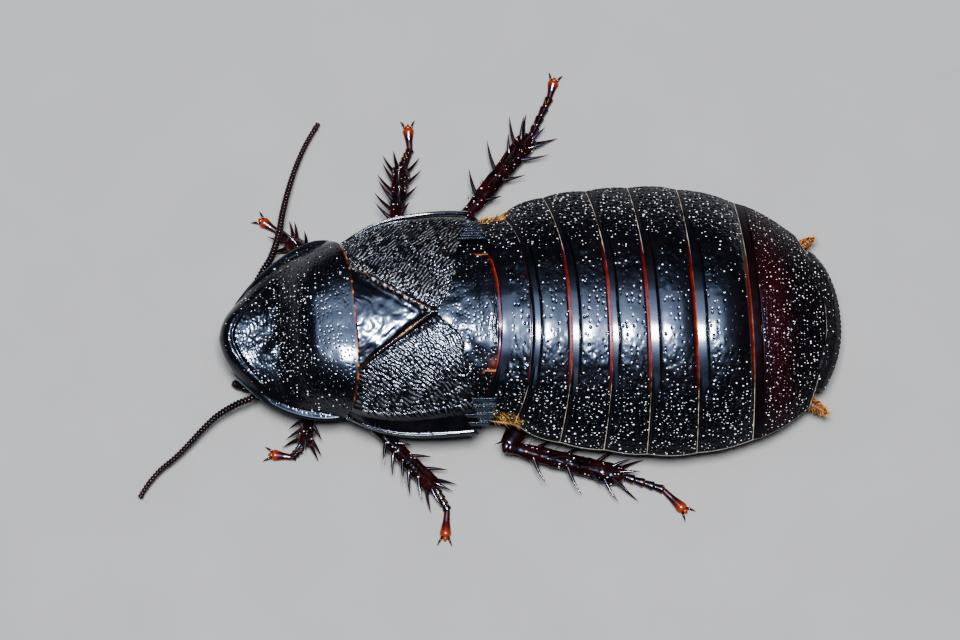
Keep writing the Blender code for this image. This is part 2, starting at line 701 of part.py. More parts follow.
# Shin spines: share of the shin, side (-1 fore, 1 rear), upward turn, slant from the shin, length.
SHIN_SPINES = {
    "foreleg": ((0.45, -1, 25, 50, 0.9), (0.55, 1, 25, 50, 0.9), (0.9, -1, 10, 60, 1.0),
                (0.93, 1, 10, 60, 1.0), (0.7, 1, 85, 50, 0.9), (0.7, -1, 40, 50, 1.0)),
    "midleg": ((0.3, -1, 15, 52, 1.1), (0.58, -1, 15, 50, 1.25), (0.92, -1, 10, 42, 1.3),
               (0.38, 1, 15, 45, 1.0), (0.66, 1, 15, 42, 1.2), (0.94, 1, 10, 34, 1.25),
               (0.45, 1, 85, 48, 1.0), (0.78, -1, 85, 48, 1.1)),
    "hindleg": ((0.17, -1, 12, 54, 1.35), (0.51, -1, 12, 54, 1.5), (0.87, -1, 12, 50, 1.4),
                (0.95, -1, -8, 40, 1.5), (0.2, 1, 12, 42, 0.8), (0.45, 1, 12, 40, 1.3),
                (0.74, 1, 12, 40, 1.4), (0.95, 1, -8, 40, 1.3), (0.33, 1, 85, 46, 1.1),
                (0.6, -1, 85, 46, 1.2), (0.85, 1, 85, 42, 1.2)),
}


def between(start, end, first, last, shares):
    # Points from start to end, leaving first and last bare at the two ends.
    heading = (end - start).normalized()
    a = start + heading * first
    b = end - heading * last
    return [a.lerp(b, share) for share in shares]


def joint_room(before, joint, after):
    # How far both pieces stay back from a joint: more where the leg bends sharply.
    turn = (joint - before).angle(after - joint)
    return GAP / 2.0 + JOINT_RADIUS * math.tan(min(turn, SHARPEST_BEND) / 2.0)


def make_leg(name, joints, seed):
    draw = random.Random(seed)
    hip, trochanter, knee, ankle, toe, tip = [at(*joint) for joint in joints]
    pair = name.split("_")[0]
    coxa_width, femur_width, tibia_width = [width * MM for width in LEG_WIDTHS[pair]]
    shares = (0.0, 0.12, 0.4, 0.75, 0.93, 1.0)
    hip_room = joint_room(hip, trochanter, knee)
    knee_room = joint_room(trochanter, knee, ankle)
    ankle_room = joint_room(knee, ankle, toe)
    path = between(hip, trochanter, 0.0, hip_room, shares)
    shape = (0.55, 0.9, 1.0, 0.8, 0.6, 0.35)
    widths = [coxa_width * k for k in shape]
    limb(f"{name}_coxa", path, widths, [COXA_DEPTH * k for k in shape], 8, RED_BROWN)
    path = between(trochanter, knee, hip_room, knee_room, shares)
    shape = (0.45, 0.75, 1.0, 0.85, 0.62, 0.4)
    widths = [femur_width * k for k in shape]
    limb(f"{name}_femur", path, widths, [FEMUR_DEPTH * k for k in shape], 8, BLACK_SHELL)

    path = between(knee, ankle, knee_room, ankle_room, (0.0, 0.08, 0.3, 0.65, 0.95, 1.0))
    shape = (0.55, 0.85, 0.95, 1.0, 1.1, 0.8)
    widths = [tibia_width * k for k in shape]
    shin = limb(f"{name}_tibia", path, widths, [TIBIA_DEPTH * k for k in shape], 8, RED_BROWN)
    heading = (ankle - knee).normalized()
    across = heading.cross(Vector((0.0, 0.0, 1.0))).normalized()
    if across.x > 0.0:
        across = -across
    upright = across.cross(heading)
    if upright.z < 0.0:
        upright = -upright
    spines = cutter_collection(f"{name}_spines")
    for share, side, rise, slant, length in SHIN_SPINES[pair]:
        outward = -side * across * math.cos(math.radians(rise)) + upright * math.sin(math.radians(rise))
        direction = heading * math.cos(math.radians(slant)) + outward * math.sin(math.radians(slant))
        centre = path[0].lerp(path[-1], share)
        root = centre + outward * 0.1 * MM
        reach = (length * draw.uniform(0.94, 1.06) + 0.25) * MM
        end = root + direction * reach
        end.z = max(end.z, 0.12 * MM)
        spine(root, end, SPINE_RADIUS, spines)
    apply_boolean(shin, "UNION", spines)

    # Four short segments and a long last one that widens to its end, resting on the floor.
    first = ankle + (toe - ankle).normalized() * ankle_room
    path = []
    widths = []
    for k in range(4):
        for share, size in ((0.0, 0.22), (0.85, 0.3)):
            path.append(first.lerp(toe, (k + share) / 4.0))
            widths.append(size * MM)
    for share, size in ((0.08, 0.17), (0.45, 0.22), (0.85, 0.33), (1.0, 0.24)):
        path.append(toe.lerp(tip, share))
        widths.append(size * MM)
    foot = limb(f"{name}_tarsus", path, widths, widths, 6, ORANGE_BROWN, 0.0)
    forward = (tip - toe).normalized()
    aside = forward.cross(Vector((0.0, 0.0, 1.0))).normalized()
    claws = cutter_collection(f"{name}_claws")
    for side in (-1.0, 1.0):
        root = tip - forward * 0.1 * MM + aside * side * 0.1 * MM
        end = tip + (forward + aside * side) * CLAW_REACH
        root.z = 0.2 * MM
        end.z = 0.1 * MM
        spine(root, end, CLAW_RADIUS, claws)
    apply_boolean(foot, "UNION", claws)
    settle(foot)


def settle(piece):
    # Nothing of a foot passes below the floor.
    for vert in piece.data.vertices:
        vert.co.z = max(vert.co.z, 0.0)


for old in list(bpy.data.objects):
    bpy.data.objects.remove(old, do_unlink=True)
insect = bpy.data.collections.new("wood_cockroach")
bpy.context.scene.collection.children.link(insect)

make_shield()
make_thorax()
make_abdomen()
make_wings()
make_head()
for seed, (leg_name, leg_joints) in enumerate(LEGS.items()):
    make_leg(leg_name, leg_joints, seed)

frame_of_body = bpy.data.objects.new("body_frame", None)
frame_of_body.location = (-ORIGIN_STATION, -ORIGIN_SIDE, 0.0)
insect.objects.link(frame_of_body)
for part in list(insect.objects):
    if part is not frame_of_body:
        part.parent = frame_of_body
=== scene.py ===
import math
import random

import bmesh
import bpy
import numpy as np
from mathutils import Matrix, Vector


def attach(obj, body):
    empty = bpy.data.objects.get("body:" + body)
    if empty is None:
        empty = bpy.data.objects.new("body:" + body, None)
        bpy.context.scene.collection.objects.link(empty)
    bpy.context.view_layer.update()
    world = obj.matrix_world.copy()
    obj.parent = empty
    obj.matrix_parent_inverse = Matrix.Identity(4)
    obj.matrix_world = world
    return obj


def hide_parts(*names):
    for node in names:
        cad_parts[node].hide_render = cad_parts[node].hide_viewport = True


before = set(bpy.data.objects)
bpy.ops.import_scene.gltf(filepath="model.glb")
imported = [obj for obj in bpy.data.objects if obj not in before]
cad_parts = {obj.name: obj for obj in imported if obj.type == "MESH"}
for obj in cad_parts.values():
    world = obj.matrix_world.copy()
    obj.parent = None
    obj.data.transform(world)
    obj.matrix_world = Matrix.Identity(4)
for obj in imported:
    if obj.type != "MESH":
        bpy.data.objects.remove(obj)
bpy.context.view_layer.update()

mm = 0.001

# Sizes are millimetres. A station is the way back from the neck shield's front edge,
# an offset the way to the right of the body's middle, and both are turned to metres in putPoints.
body = dict(originStation=15.15, originSide=1.55, skew=0.065, bend=0.45, bendStart=20.0, bendReach=12.0,
            archPower=2.2, archRound=0.85, bowPower=2.2, margin=0.28)
halfWidths = ((8.0, 4.8), (10.0, 5.1), (12.5, 5.4), (16.0, 5.95), (17.3, 6.6), (18.7, 7.05), (20.3, 7.35),
              (22.0, 7.55), (24.1, 7.7), (26.7, 7.55), (29.85, 6.75), (31.1, 6.15), (32.0, 5.6), (33.0, 4.9),
              (34.15, 4.1), (35.0, 3.4))
crowns = ((8.0, 7.0), (12.0, 7.15), (16.0, 7.35), (20.0, 7.6), (24.0, 7.8), (27.0, 7.65), (30.0, 7.0),
          (32.0, 6.15), (34.15, 4.95), (35.0, 4.4))
edges = ((8.0, 4.5), (12.0, 4.4), (16.0, 4.2), (20.0, 3.9), (24.0, 3.7), (28.0, 3.6), (32.0, 3.4), (35.0, 3.3))
bellies = ((4.0, 2.6), (8.0, 2.6), (16.0, 2.6), (18.0, 2.7), (19.5, 2.5), (22.0, 1.8), (25.0, 1.25),
           (28.0, 1.25), (31.0, 1.6), (34.6, 2.4))
wingHalfWidths = dict(
    left=((7.0, 5.3), (8.0, 5.9), (9.5, 6.4), (11.0, 6.6), (13.0, 6.6), (15.0, 6.5)),
    right=((7.0, 4.75), (8.0, 5.3), (9.0, 5.8), (10.3, 6.15), (11.5, 6.3), (13.0, 6.4), (15.0, 6.3)),
)


def deselectAll():
    for piece in bpy.context.selected_objects:
        piece.select_set(False)
    bpy.context.view_layer.objects.active = None


def pick(piece):
    deselectAll()
    piece.select_set(True)
    bpy.context.view_layer.objects.active = piece


def smoothStep(start, end, value):
    u = np.clip((value - start) / (end - start), 0.0, 1.0)
    return u * u * (3.0 - 2.0 * u)


def bell(distance, width):
    return np.exp(-(distance / width) ** 2)


def along(table, station):
    # a cubic through the table's sizes, with slopes taken from the neighbours
    stations, values = np.array(table).T
    last = len(stations) - 1
    s = np.clip(station, stations[0], stations[last])
    i = np.clip(np.searchsorted(stations, s, side="right") - 1, 0, last - 1)
    before, after = np.maximum(i - 1, 0), np.minimum(i + 2, last)
    span = stations[i + 1] - stations[i]
    slope = (values[i + 1] - values[before]) / (stations[i + 1] - stations[before]) * span
    nextSlope = (values[after] - values[i]) / (stations[after] - stations[i]) * span
    u = (s - stations[i]) / span
    blend = u * u * (3.0 - 2.0 * u)
    rise = u * (1.0 - u) ** 2 * slope - u * u * (1.0 - u) * nextSlope
    return values[i] + (values[i + 1] - values[i]) * blend + rise


def middle(station):
    return -body["bend"] * np.maximum(0.0, (body["bendStart"] - station) / body["bendReach"]) ** 1.5


def arch(t):
    return (1.0 - np.clip(np.abs(t), 0.0, 1.0) ** body["archPower"]) ** body["archRound"]


def backHeight(station, t):
    edge = along(edges, station)
    return edge + (along(crowns, station) - edge) * arch(t)


def onBody(station, offset):
    return station - body["skew"] * offset, middle(station) + offset


def hindLine(end, bow, t):
    return end - bow * np.abs(t) ** body["bowPower"]


def hills(x, y, size, seed):
    # soft random ups and downs about `size` apart, from -1 to 1
    cells = 128
    lattice = np.random.default_rng(seed).uniform(-1.0, 1.0, (cells, cells))
    i, j = np.floor(x / size).astype(int), np.floor(y / size).astype(int)
    fu, fv = smoothStep(0.0, 1.0, x / size - i), smoothStep(0.0, 1.0, y / size - j)
    near = lattice[i % cells, j % cells] * (1 - fv) + lattice[i % cells, (j + 1) % cells] * fv
    far = lattice[(i + 1) % cells, j % cells] * (1 - fv) + lattice[(i + 1) % cells, (j + 1) % cells] * fv
    return near * (1 - fu) + far * fu


def pits(x, y, spacing, radius, seed, filled=0.9):
    # 0 on open ground, up to 1 at the bottom of a pit; each cell of a loose lattice holds at most one
    cells = 128
    draw = np.random.default_rng(seed)
    shiftX, shiftY = draw.uniform(-0.34, 0.34, (2, cells, cells))
    size = draw.uniform(0.7, 1.1, (cells, cells)) * (draw.random((cells, cells)) < filled)
    i, j = np.floor(x / spacing).astype(int), np.floor(y / spacing).astype(int)
    deepest = np.zeros_like(x)
    for a in (-1, 0, 1):
        for b in (-1, 0, 1):
            u, v = (i + a) % cells, (j + b) % cells
            ofCell = size[u, v]
            awayX = x - (i + a + 0.5 + shiftX[u, v]) * spacing
            awayY = y - (j + b + 0.5 + shiftY[u, v]) * spacing
            away = (awayX ** 2 + awayY ** 2) / np.maximum(radius * ofCell, 1e-6) ** 2
            deepest = np.maximum(deepest, np.where(away < 1.0, (1.0 - away) ** 2 * ofCell, 0.0))
    return deepest


def wrinkles(over, beside, seed):
    # worm-like ridges one apart going over them, a few times as long as wide, from -1 to 1
    cells, perUnit = 512, 8
    over_, beside_ = np.meshgrid(*[np.fft.fftfreq(cells) * perUnit] * 2, indexing="ij")
    band = bell(np.hypot(over_, beside_) - 1.0, 0.22) * bell(beside_, 0.6)
    noise = np.random.default_rng(seed).standard_normal((cells, cells))
    lattice = np.fft.ifft2(np.fft.fft2(noise) * band).real
    lattice = np.tanh(1.2 * lattice / lattice.std())
    i, j = np.floor(over * perUnit).astype(int), np.floor(beside * perUnit).astype(int)
    fu, fv = over * perUnit - i, beside * perUnit - j
    near = lattice[i % cells, j % cells] * (1 - fv) + lattice[i % cells, (j + 1) % cells] * fv
    far = lattice[(i + 1) % cells, j % cells] * (1 - fv) + lattice[(i + 1) % cells, (j + 1) % cells] * fv
    return near * (1 - fu) + far * fu


def pointsOf(piece):
    flat = np.empty(len(piece.data.vertices) * 3, np.float32)
    piece.data.vertices.foreach_get("co", flat)
    return flat.reshape(-1, 3).astype(float)


def setPoints(piece, spots):
    piece.data.vertices.foreach_set("co", np.asarray(spots, np.float32).ravel())
    piece.data.update()


def putPoints(piece, station, side, height):
    setPoints(piece, np.column_stack((station - body["originStation"], side - body["originSide"], height)) * mm)


def paint(piece, name, values):
    layer = piece.data.attributes.new(name, "FLOAT", "POINT")
    layer.data.foreach_set("value", np.asarray(values, np.float32))


def newGrid(name, rows, columns):
    deselectAll()
    bpy.ops.mesh.primitive_grid_add(x_subdivisions=rows, y_subdivisions=columns, size=2.0)
    sheet = bpy.context.object
    sheet.name = sheet.data.name = name
    flat = pointsOf(sheet)
    return sheet, (flat[:, 0] + 1.0) / 2.0, flat[:, 1]


underShares = (1.0, 0.85, 0.5, 0.12)


def foldedSheet(name, rows, columns, place):
    # a grid folded round its hind edge: a fine outer face, then a few rows of inner face back to the front
    total = rows + len(underShares) + 1
    sheet, down, across = newGrid(name, total, columns)
    row = np.rint(down * total).astype(int)
    share = np.where(row <= rows, row / rows, 0.0)
    inner = (row > rows) & (row < total)
    for k, innerShare in enumerate(underShares):
        share[row == rows + 1 + k] = innerShare
    station, side, height, painted = place(share, across, inner)
    putPoints(sheet, station, side, height)
    for layer, values in painted.items():
        paint(sheet, layer, values)
    return sheet


def ringedTube(name, sides, *cuts):
    # a closed cylinder of unit size cut into rings, with each vertex's share of the length, turn and reach
    deselectAll()
    bpy.ops.mesh.primitive_cylinder_add(vertices=sides, radius=1.0, depth=1.0, end_fill_type="TRIFAN")
    tube = bpy.context.object
    tube.name = tube.data.name = name
    bpy.ops.object.mode_set(mode="EDIT")
    bpy.ops.mesh.select_mode(type="EDGE")
    for rings in cuts:
        bpy.ops.mesh.select_all(action="DESELECT")
        cage = bmesh.from_edit_mesh(tube.data)
        for edge in cage.edges:
            run = edge.verts[1].co - edge.verts[0].co
            edge.select_set(abs(run.z) > 0.00001 and run.xy.length < 0.00001)
        bmesh.update_edit_mesh(tube.data)
        bpy.ops.mesh.subdivide(number_cuts=rings - 1)
    bpy.ops.object.mode_set(mode="OBJECT")
    flat = pointsOf(tube)
    return tube, flat[:, 2] + 0.5, np.arctan2(flat[:, 1], flat[:, 0]), np.hypot(flat[:, 0], flat[:, 1])


def smoothPath(points, steps=16):
    p = np.array(points, float)
    p = np.vstack((p[:1], p, p[-1:]))
    u = np.linspace(0.0, 1.0, steps, endpoint=False)[:, None]
    runs = [0.5 * (2 * b + (c - a) * u + (2 * a - 5 * b + 4 * c - d) * u ** 2 + (3 * b - a - 3 * c + d) * u ** 3)
            for a, b, c, d in zip(p, p[1:], p[2:], p[3:])]
    return np.vstack(runs + [p[-1:]])


def pathLength(path):
    return np.linalg.norm(np.diff(path, axis=0), axis=1).sum()


def limb(name, path, widthOf, depthOf, sides=16, rings=24, lowest=None, ringsEach=1, amberOf=None):
    # a tube swept along a path, wide in the floor's plane and deep upright; both sizes follow the share
    tube, share, turn, reach = ringedTube(name, sides, rings, ringsEach) if ringsEach > 1 else ringedTube(name, sides, rings)
    steps = np.concatenate(([0.0], np.cumsum(np.linalg.norm(np.diff(path, axis=0), axis=1))))
    s = share * steps[-1]
    ahead = np.column_stack([np.interp(s + 0.02, steps, path[:, k]) for k in range(3)])
    behind = np.column_stack([np.interp(s - 0.02, steps, path[:, k]) for k in range(3)])
    centre = np.column_stack([np.interp(s, steps, path[:, k]) for k in range(3)])
    heading = (ahead - behind) / np.linalg.norm(ahead - behind, axis=1)[:, None]
    across = np.cross(heading, (0.0, 0.0, 1.0))
    across /= np.maximum(np.linalg.norm(across, axis=1), 1e-6)[:, None]
    upright = np.cross(across, heading)
    width = (widthOf(share, turn) * reach * np.cos(turn))[:, None]
    depth = (depthOf(share, turn) * reach * np.sin(turn))[:, None]
    spots = centre + across * width + upright * depth
    if lowest is not None:
        spots[:, 2] = np.maximum(spots[:, 2], lowest)
    putPoints(tube, spots[:, 0], spots[:, 1], spots[:, 2])
    if amberOf:
        paint(tube, "amber", amberOf(share))
    return tube


def profile(*stops):
    # a size read from stops given as (share, size), joined by straight lines
    shares, sizes = zip(*stops)
    return lambda share, turn: np.interp(share, shares, sizes)


def joinAs(name, pieces):
    pick(pieces[0])
    for piece in pieces:
        piece.select_set(True)
    if len(pieces) > 1:
        bpy.ops.object.join()
    joined = bpy.context.object
    joined.name = joined.data.name = name
    return joined


def cleanUp(piece, fill=True):
    pick(piece)
    bpy.ops.object.mode_set(mode="EDIT")
    bpy.ops.mesh.select_all(action="SELECT")
    bpy.ops.mesh.remove_doubles(threshold=0.0000012)
    if fill:
        bpy.ops.mesh.fill_holes(sides=0)
    bpy.ops.mesh.select_all(action="SELECT")
    bpy.ops.mesh.normals_make_consistent(inside=False)
    bpy.ops.object.mode_set(mode="OBJECT")


def finishPiece(piece, finish, slot, *nodes, sharp=60.0):
    cleanUp(piece)
    bpy.ops.object.shade_smooth_by_angle(angle=math.radians(sharp))
    if finish is not None:
        piece.data.materials.clear()
        piece.data.materials.append(finish)
    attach(piece, "root")
    if nodes:
        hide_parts(*nodes)
    return piece


def linear(hexColour):
    channels = [int(hexColour[k:k + 2], 16) / 255 for k in (1, 3, 5)]
    return [c / 12.92 if c <= 0.04045 else ((c + 0.055) / 1.055) ** 2.4 for c in channels] + [1.0]


def addNode(tree, kind, settings=None, links=None):
    node = tree.nodes.new(kind)
    for key, value in (settings or {}).items():
        if isinstance(key, str) and hasattr(node, key):
            setattr(node, key, value)
        else:
            node.inputs[key].default_value = value
    for key, source in (links or {}).items():
        tree.links.new(source, node.inputs[key])
    return node


def addRamp(tree, factor, *stops):
    ramp = addNode(tree, "ShaderNodeValToRGB", links={"Fac": factor})
    points = ramp.color_ramp.elements
    points[0].position, points[1].position = stops[0][0], stops[-1][0]
    points[0].color, points[1].color = linear(stops[0][1]), linear(stops[-1][1])
    for position, colour in stops[1:-1]:
        points.new(position).color = linear(colour)
    return ramp.outputs["Color"]


def mixColours(tree, factor, first, second):
    node = addNode(tree, "ShaderNodeMix", {"data_type": "RGBA"}, {0: factor, 6: first, 7: second})
    return node.outputs[2]


def newFinish(name):
    finish = bpy.data.materials.new(name)
    finish.use_nodes = True
    tree = finish.node_tree
    tree.nodes.clear()
    place = addNode(tree, "ShaderNodeTexCoord").outputs["Object"]
    return finish, tree, place


def cuticle(name, look):
    # Sclerotised cuticle, hardened and waxed like lacquer: a clear outer film over a dull dark layer,
    # which gives the eye a sharp glint inside a wide bluish sheen. Grain and pits are true sizes.
    finish, tree, place = newFinish(name)
    clouds = addNode(tree, "ShaderNodeTexNoise", {"Scale": 1 / (look["cloud"] * mm), "Detail": 4.0}, {"Vector": place})
    base = addRamp(tree, clouds.outputs["Fac"], (0.32, look["deep"]), (0.70, look["light"]))
    nearEdge = addNode(tree, "ShaderNodeAttribute", {"attribute_name": "nearEdge"}).outputs["Fac"]
    across = addNode(tree, "ShaderNodeAttribute", {"attribute_name": "across"}).outputs["Fac"]
    amber = addNode(tree, "ShaderNodeAttribute", {"attribute_name": "amber"}).outputs["Fac"]
    # the hind margin thins to clear red and orange over the back, and to a pale line at the sides; the brightest orange
    # and the pale line are partly painted highlight on the rolled edge
    patches = addNode(tree, "ShaderNodeTexNoise", {"Scale": 1 / (0.5 * mm), "Detail": 2.0}, {"Vector": place})
    wobble = addNode(tree, "ShaderNodeMath", {"operation": "MULTIPLY_ADD", 1: 0.22, 2: -0.11}, {0: patches.outputs["Fac"]})
    edge = addNode(tree, "ShaderNodeMath", {"operation": "ADD"}, {0: nearEdge, 1: wobble.outputs[0]}).outputs[0]
    glow = addRamp(tree, edge, (0.30, "#000000"), (0.50, "#a0a0a0"), (0.70, "#ffffff"), (1.0, "#ffffff"))
    clearRed = addRamp(tree, edge, (0.30, "#140303"), (0.58, "#340807"), (0.80, "#5c1409"), (0.90, "#8c4222"),
                       (0.96, "#a88062"))
    overBack = mixColours(tree, glow, base, clearRed)
    sideGlow = addRamp(tree, edge, (0.82, "#000000"), (0.89, "#e0e0e0"))
    paleLine = addNode(tree, "ShaderNodeRGB")
    paleLine.outputs[0].default_value = linear(look.get("line", "#c4b29c"))
    overSide = mixColours(tree, sideGlow, base, paleLine.outputs[0])
    sideways = addNode(tree, "ShaderNodeMapRange", {"From Min": 0.34, "From Max": 0.58}, {"Value": across}).outputs[0]
    edged = mixColours(tree, sideways, overBack, overSide)
    amberColour = addRamp(tree, amber, (0.0, look["deep"]), (0.45, look.get("warm", "#5a1408")),
                          (1.0, look.get("amber", "#c8641c")))
    stained = mixColours(tree, amber, edged, amberColour)
    # painted glints: pale flecks in pits and on wrinkle crests stand in for the highlights the lamp would catch there
    paintedGlintAmount = addNode(tree, "ShaderNodeAttribute", {"attribute_name": "paintedGlint"}).outputs["Fac"]
    paintedGlintColour = addNode(tree, "ShaderNodeRGB")
    paintedGlintColour.outputs[0].default_value = linear(look.get("paintedGlint", "#f6f4f0"))
    grain = addNode(tree, "ShaderNodeTexNoise", {"Scale": 1 / (look["grain"] * mm), "Detail": 3.0}, {"Vector": place})
    if "glintCell" in look:
        # the attribute says which share of the loose cells holds a painted glint
        longer = addNode(tree, "ShaderNodeVectorMath", {"operation": "MULTIPLY", 1: (0.62, 1.0, 1.0)}, {0: place}).outputs[0]
        cells = addNode(tree, "ShaderNodeTexVoronoi", {"Scale": 1 / (look["glintCell"] * mm)}, {"Vector": longer})
        chance = addNode(tree, "ShaderNodeSeparateColor", links={"Color": cells.outputs["Color"]})
        chosen = addNode(tree, "ShaderNodeMath", {"operation": "SUBTRACT"}, {0: paintedGlintAmount, 1: chance.outputs[0]})
        holds = addNode(tree, "ShaderNodeMapRange", {"From Min": 0.0, "From Max": 0.10}, {"Value": chosen.outputs[0]})
        ragged = addNode(tree, "ShaderNodeMath", {"operation": "MULTIPLY_ADD", 1: 0.55}, {0: grain.outputs["Fac"],
                         2: cells.outputs["Distance"]})
        smaller = addNode(tree, "ShaderNodeMath", {"operation": "MULTIPLY_ADD", 1: 0.2}, {0: chance.outputs[1],
                          2: ragged.outputs[0]})
        spot = addNode(tree, "ShaderNodeMapRange", {"From Min": 0.585, "From Max": 0.49}, {"Value": smaller.outputs[0]})
        paintedGlints = addNode(tree, "ShaderNodeMath", {"operation": "MULTIPLY"}, {0: holds.outputs[0], 1: spot.outputs[0]})
    else:
        broken = addNode(tree, "ShaderNodeMapRange", {"From Min": 0.36, "From Max": 0.56}, {"Value": grain.outputs["Fac"]})
        paintedGlints = addNode(tree, "ShaderNodeMath", {"operation": "MULTIPLY"}, {0: paintedGlintAmount, 1: broken.outputs[0]})
    whole = mixColours(tree, paintedGlints.outputs[0], stained, paintedGlintColour.outputs[0])
    bump = addNode(tree, "ShaderNodeBump", {"Strength": look["grainStrength"], "Distance": look["grain"] * 0.25 * mm},
                   {"Height": grain.outputs["Fac"]})
    rough = addNode(tree, "ShaderNodeMapRange", {"From Min": 0.25, "From Max": 0.75, "To Min": look["rough"] - 0.06,
                    "To Max": look["rough"] + 0.08}, {"Value": patches.outputs["Fac"]})
    # the film is worn off towards the sides
    film = addNode(tree, "ShaderNodeMapRange", {"From Min": 0.5, "From Max": 0.9, "To Min": look["film"],
                   "To Max": look["film"] * 0.3}, {"Value": across})
    shader = addNode(tree, "ShaderNodeBsdfPrincipled",
                     {"IOR": 1.31, "Specular Tint": linear("#c2dafe"), "Coat Roughness": look["filmRough"],
                      "Coat IOR": 1.4},
                     {"Base Color": whole, "Roughness": rough.outputs[0], "Coat Weight": film.outputs[0],
                      "Normal": bump.outputs[0]})
    addNode(tree, "ShaderNodeOutputMaterial", links={"Surface": shader.outputs[0]})
    return finish


looks = dict(
    blackShell=dict(deep="#030304", light="#0a0709", cloud=1.6, grain=0.07, grainStrength=0.22, rough=0.36,
                    film=0.85, filmRough=0.12, warm="#5a2410", amber="#a8744a", glintCell=0.125),
    redShell=dict(deep="#040303", light="#0c0506", cloud=1.6, grain=0.08, grainStrength=0.4, rough=0.36,
                  film=0.4, filmRough=0.15, warm="#3c060b", amber="#70101a", line="#8a8078", glintCell=0.12),
    tailPlate=dict(deep="#060504", light="#171210", cloud=0.25, grain=0.07, grainStrength=0.7, rough=0.48,
                   film=0.3, filmRough=0.2, warm="#1e1814", amber="#4a3c34", glintCell=0.12),
    underside=dict(deep="#1c0504", light="#45100a", cloud=1.5, grain=0.08, grainStrength=0.3, rough=0.32,
                   film=0.5, filmRough=0.14),
    forewing=dict(deep="#040405", light="#0d0b0e", cloud=0.9, grain=0.06, grainStrength=0.2, rough=0.26,
                  film=1.0, filmRough=0.12, warm="#5c3c2a", amber="#c09a66"),
    hindwing=dict(deep="#0a0c0e", light="#1e2328", cloud=0.5, grain=0.06, grainStrength=0.4, rough=0.32,
                  film=0.8, filmRough=0.14),
    leg=dict(deep="#040203", light="#220706", cloud=0.9, grain=0.05, grainStrength=0.4, rough=0.28,
             film=0.9, filmRough=0.1, warm="#1c0706", amber="#54180c", glintCell=0.13),
    foot=dict(deep="#120504", light="#3c0f08", cloud=0.5, grain=0.05, grainStrength=0.3, rough=0.26,
              film=0.8, filmRough=0.1, warm="#501608", amber="#7c3212"),
    cercus=dict(deep="#180804", light="#5c2810", cloud=0.35, grain=0.05, grainStrength=0.5, rough=0.42,
                film=0.3, filmRough=0.2),
    feeler=dict(deep="#060303", light="#1c0c08", cloud=0.4, grain=0.04, grainStrength=0.4, rough=0.36,
                film=0.5, filmRough=0.16, warm="#3a1c10", amber="#6e4630"),
    claw=dict(deep="#0c0302", light="#3c0e06", cloud=0.5, grain=0.05, grainStrength=0.2, rough=0.25,
              film=0.6, filmRough=0.1),
)
finishes = {name: cuticle(name, look) for name, look in looks.items()}


def eyeFinish():
    # Compound eye: thousands of clear lenses over black pigment, a fine honeycomb under a bright glint.
    finish, tree, place = newFinish("eyeLenses")
    lens = addNode(tree, "ShaderNodeTexVoronoi", {"Scale": 1 / (0.045 * mm)}, {"Vector": place})
    bump = addNode(tree, "ShaderNodeBump", {"Strength": 0.5, "Distance": 0.01 * mm, "invert": True},
                   {"Height": lens.outputs["Distance"]})
    shade = addRamp(tree, lens.outputs["Distance"], (0.0, "#0c0a10"), (0.7, "#020203"))
    shader = addNode(tree, "ShaderNodeBsdfPrincipled", {"IOR": 1.45, "Roughness": 0.16, "Coat Weight": 0.6,
                     "Coat Roughness": 0.08}, {"Base Color": shade, "Normal": bump.outputs[0]})
    addNode(tree, "ShaderNodeOutputMaterial", links={"Surface": shader.outputs[0]})
    return finish


def hairFinish():
    # Setae: hollow bristles of clear tan cuticle, golden where light comes through them.
    finish, tree, place = newFinish("goldenBristle")
    streak = addNode(tree, "ShaderNodeTexNoise", {"Scale": 1 / (0.3 * mm)}, {"Vector": place})
    shade = addRamp(tree, streak.outputs["Fac"], (0.3, "#7a4a18"), (0.7, "#c89a4c"))
    shader = addNode(tree, "ShaderNodeBsdfPrincipled", {"IOR": 1.55, "Roughness": 0.35}, {"Base Color": shade})
    addNode(tree, "ShaderNodeOutputMaterial", links={"Surface": shader.outputs[0]})
    return finish


finishes["eye"] = eyeFinish()
finishes["hair"] = hairFinish()
print("finishes made")


def bodyColumns(across):
    # the way across a back plate: -1 to 1 over its top, and past that down its blunt side margin
    even = 1.03 * (0.72 * across + 0.28 * np.sin(math.pi / 2.0 * across))
    return np.clip(even, -1.0, 1.0), np.clip((np.abs(even) - 1.0) / 0.03, 0.0, 1.0)


def shellPoint(station, t, skirt, inner, lift, half, thickness=0.05):
    # a point of a back plate, on its outer or inner face
    edge = along(edges, station)
    top = np.maximum(backHeight(station, t) + lift, edge - 0.05)
    rim = 0.05 * bell((1.0 - np.abs(t)) * half, 0.10) * (1.0 - skirt)
    outer = top + rim - body["margin"] * skirt
    under = edge - body["margin"] + np.maximum(top - edge, 0.0) * (1.0 - thickness)
    x, y = onBody(station, t * half - 0.06 * skirt * np.sign(t))
    return x, y, np.where(inner, under, outer)


tergites = dict(
    ends=(17.75, 19.8, 22.0, 24.1, 26.7, 29.85, 34.15), bows=(1.5, 1.05, 0.8, 0.5, 0.3, 0.25, 1.25),
    grooves=(0.38, 0.31, 0.40, 0.33, 0.46, 0.50, 0.42), notumEnd=15.95, notumBow=1.5, cover=0.45,
    levels=(1.0, 1.0, 1.0, 1.0, 1.0, 0.85, 0.0), facing=0.004, bodyMiddle=15.0,
    rowSpacing=0.025, columnSpacing=0.050, bandLift=-0.05, hindLift=0.02, grooveDepth=0.04,
    faceLifts=(0.10, 0.24, 0.19, 0.15, 0.15, 0.16, 0.10),
    fallStart=0.16, fallPower=1.7, shoulder=0.03, pitSpacing=0.36, pitRadius=0.080, pitDepth=0.035,
    sidePitSpacing=0.21, sidePitRadius=0.094, sidePitDepth=0.07, tailPitSpacing=0.24, tailPitRadius=0.085,
    sheenSide=1.5, backGlints=0.20, sideGlints=0.74, tailGlints=0.55,
)


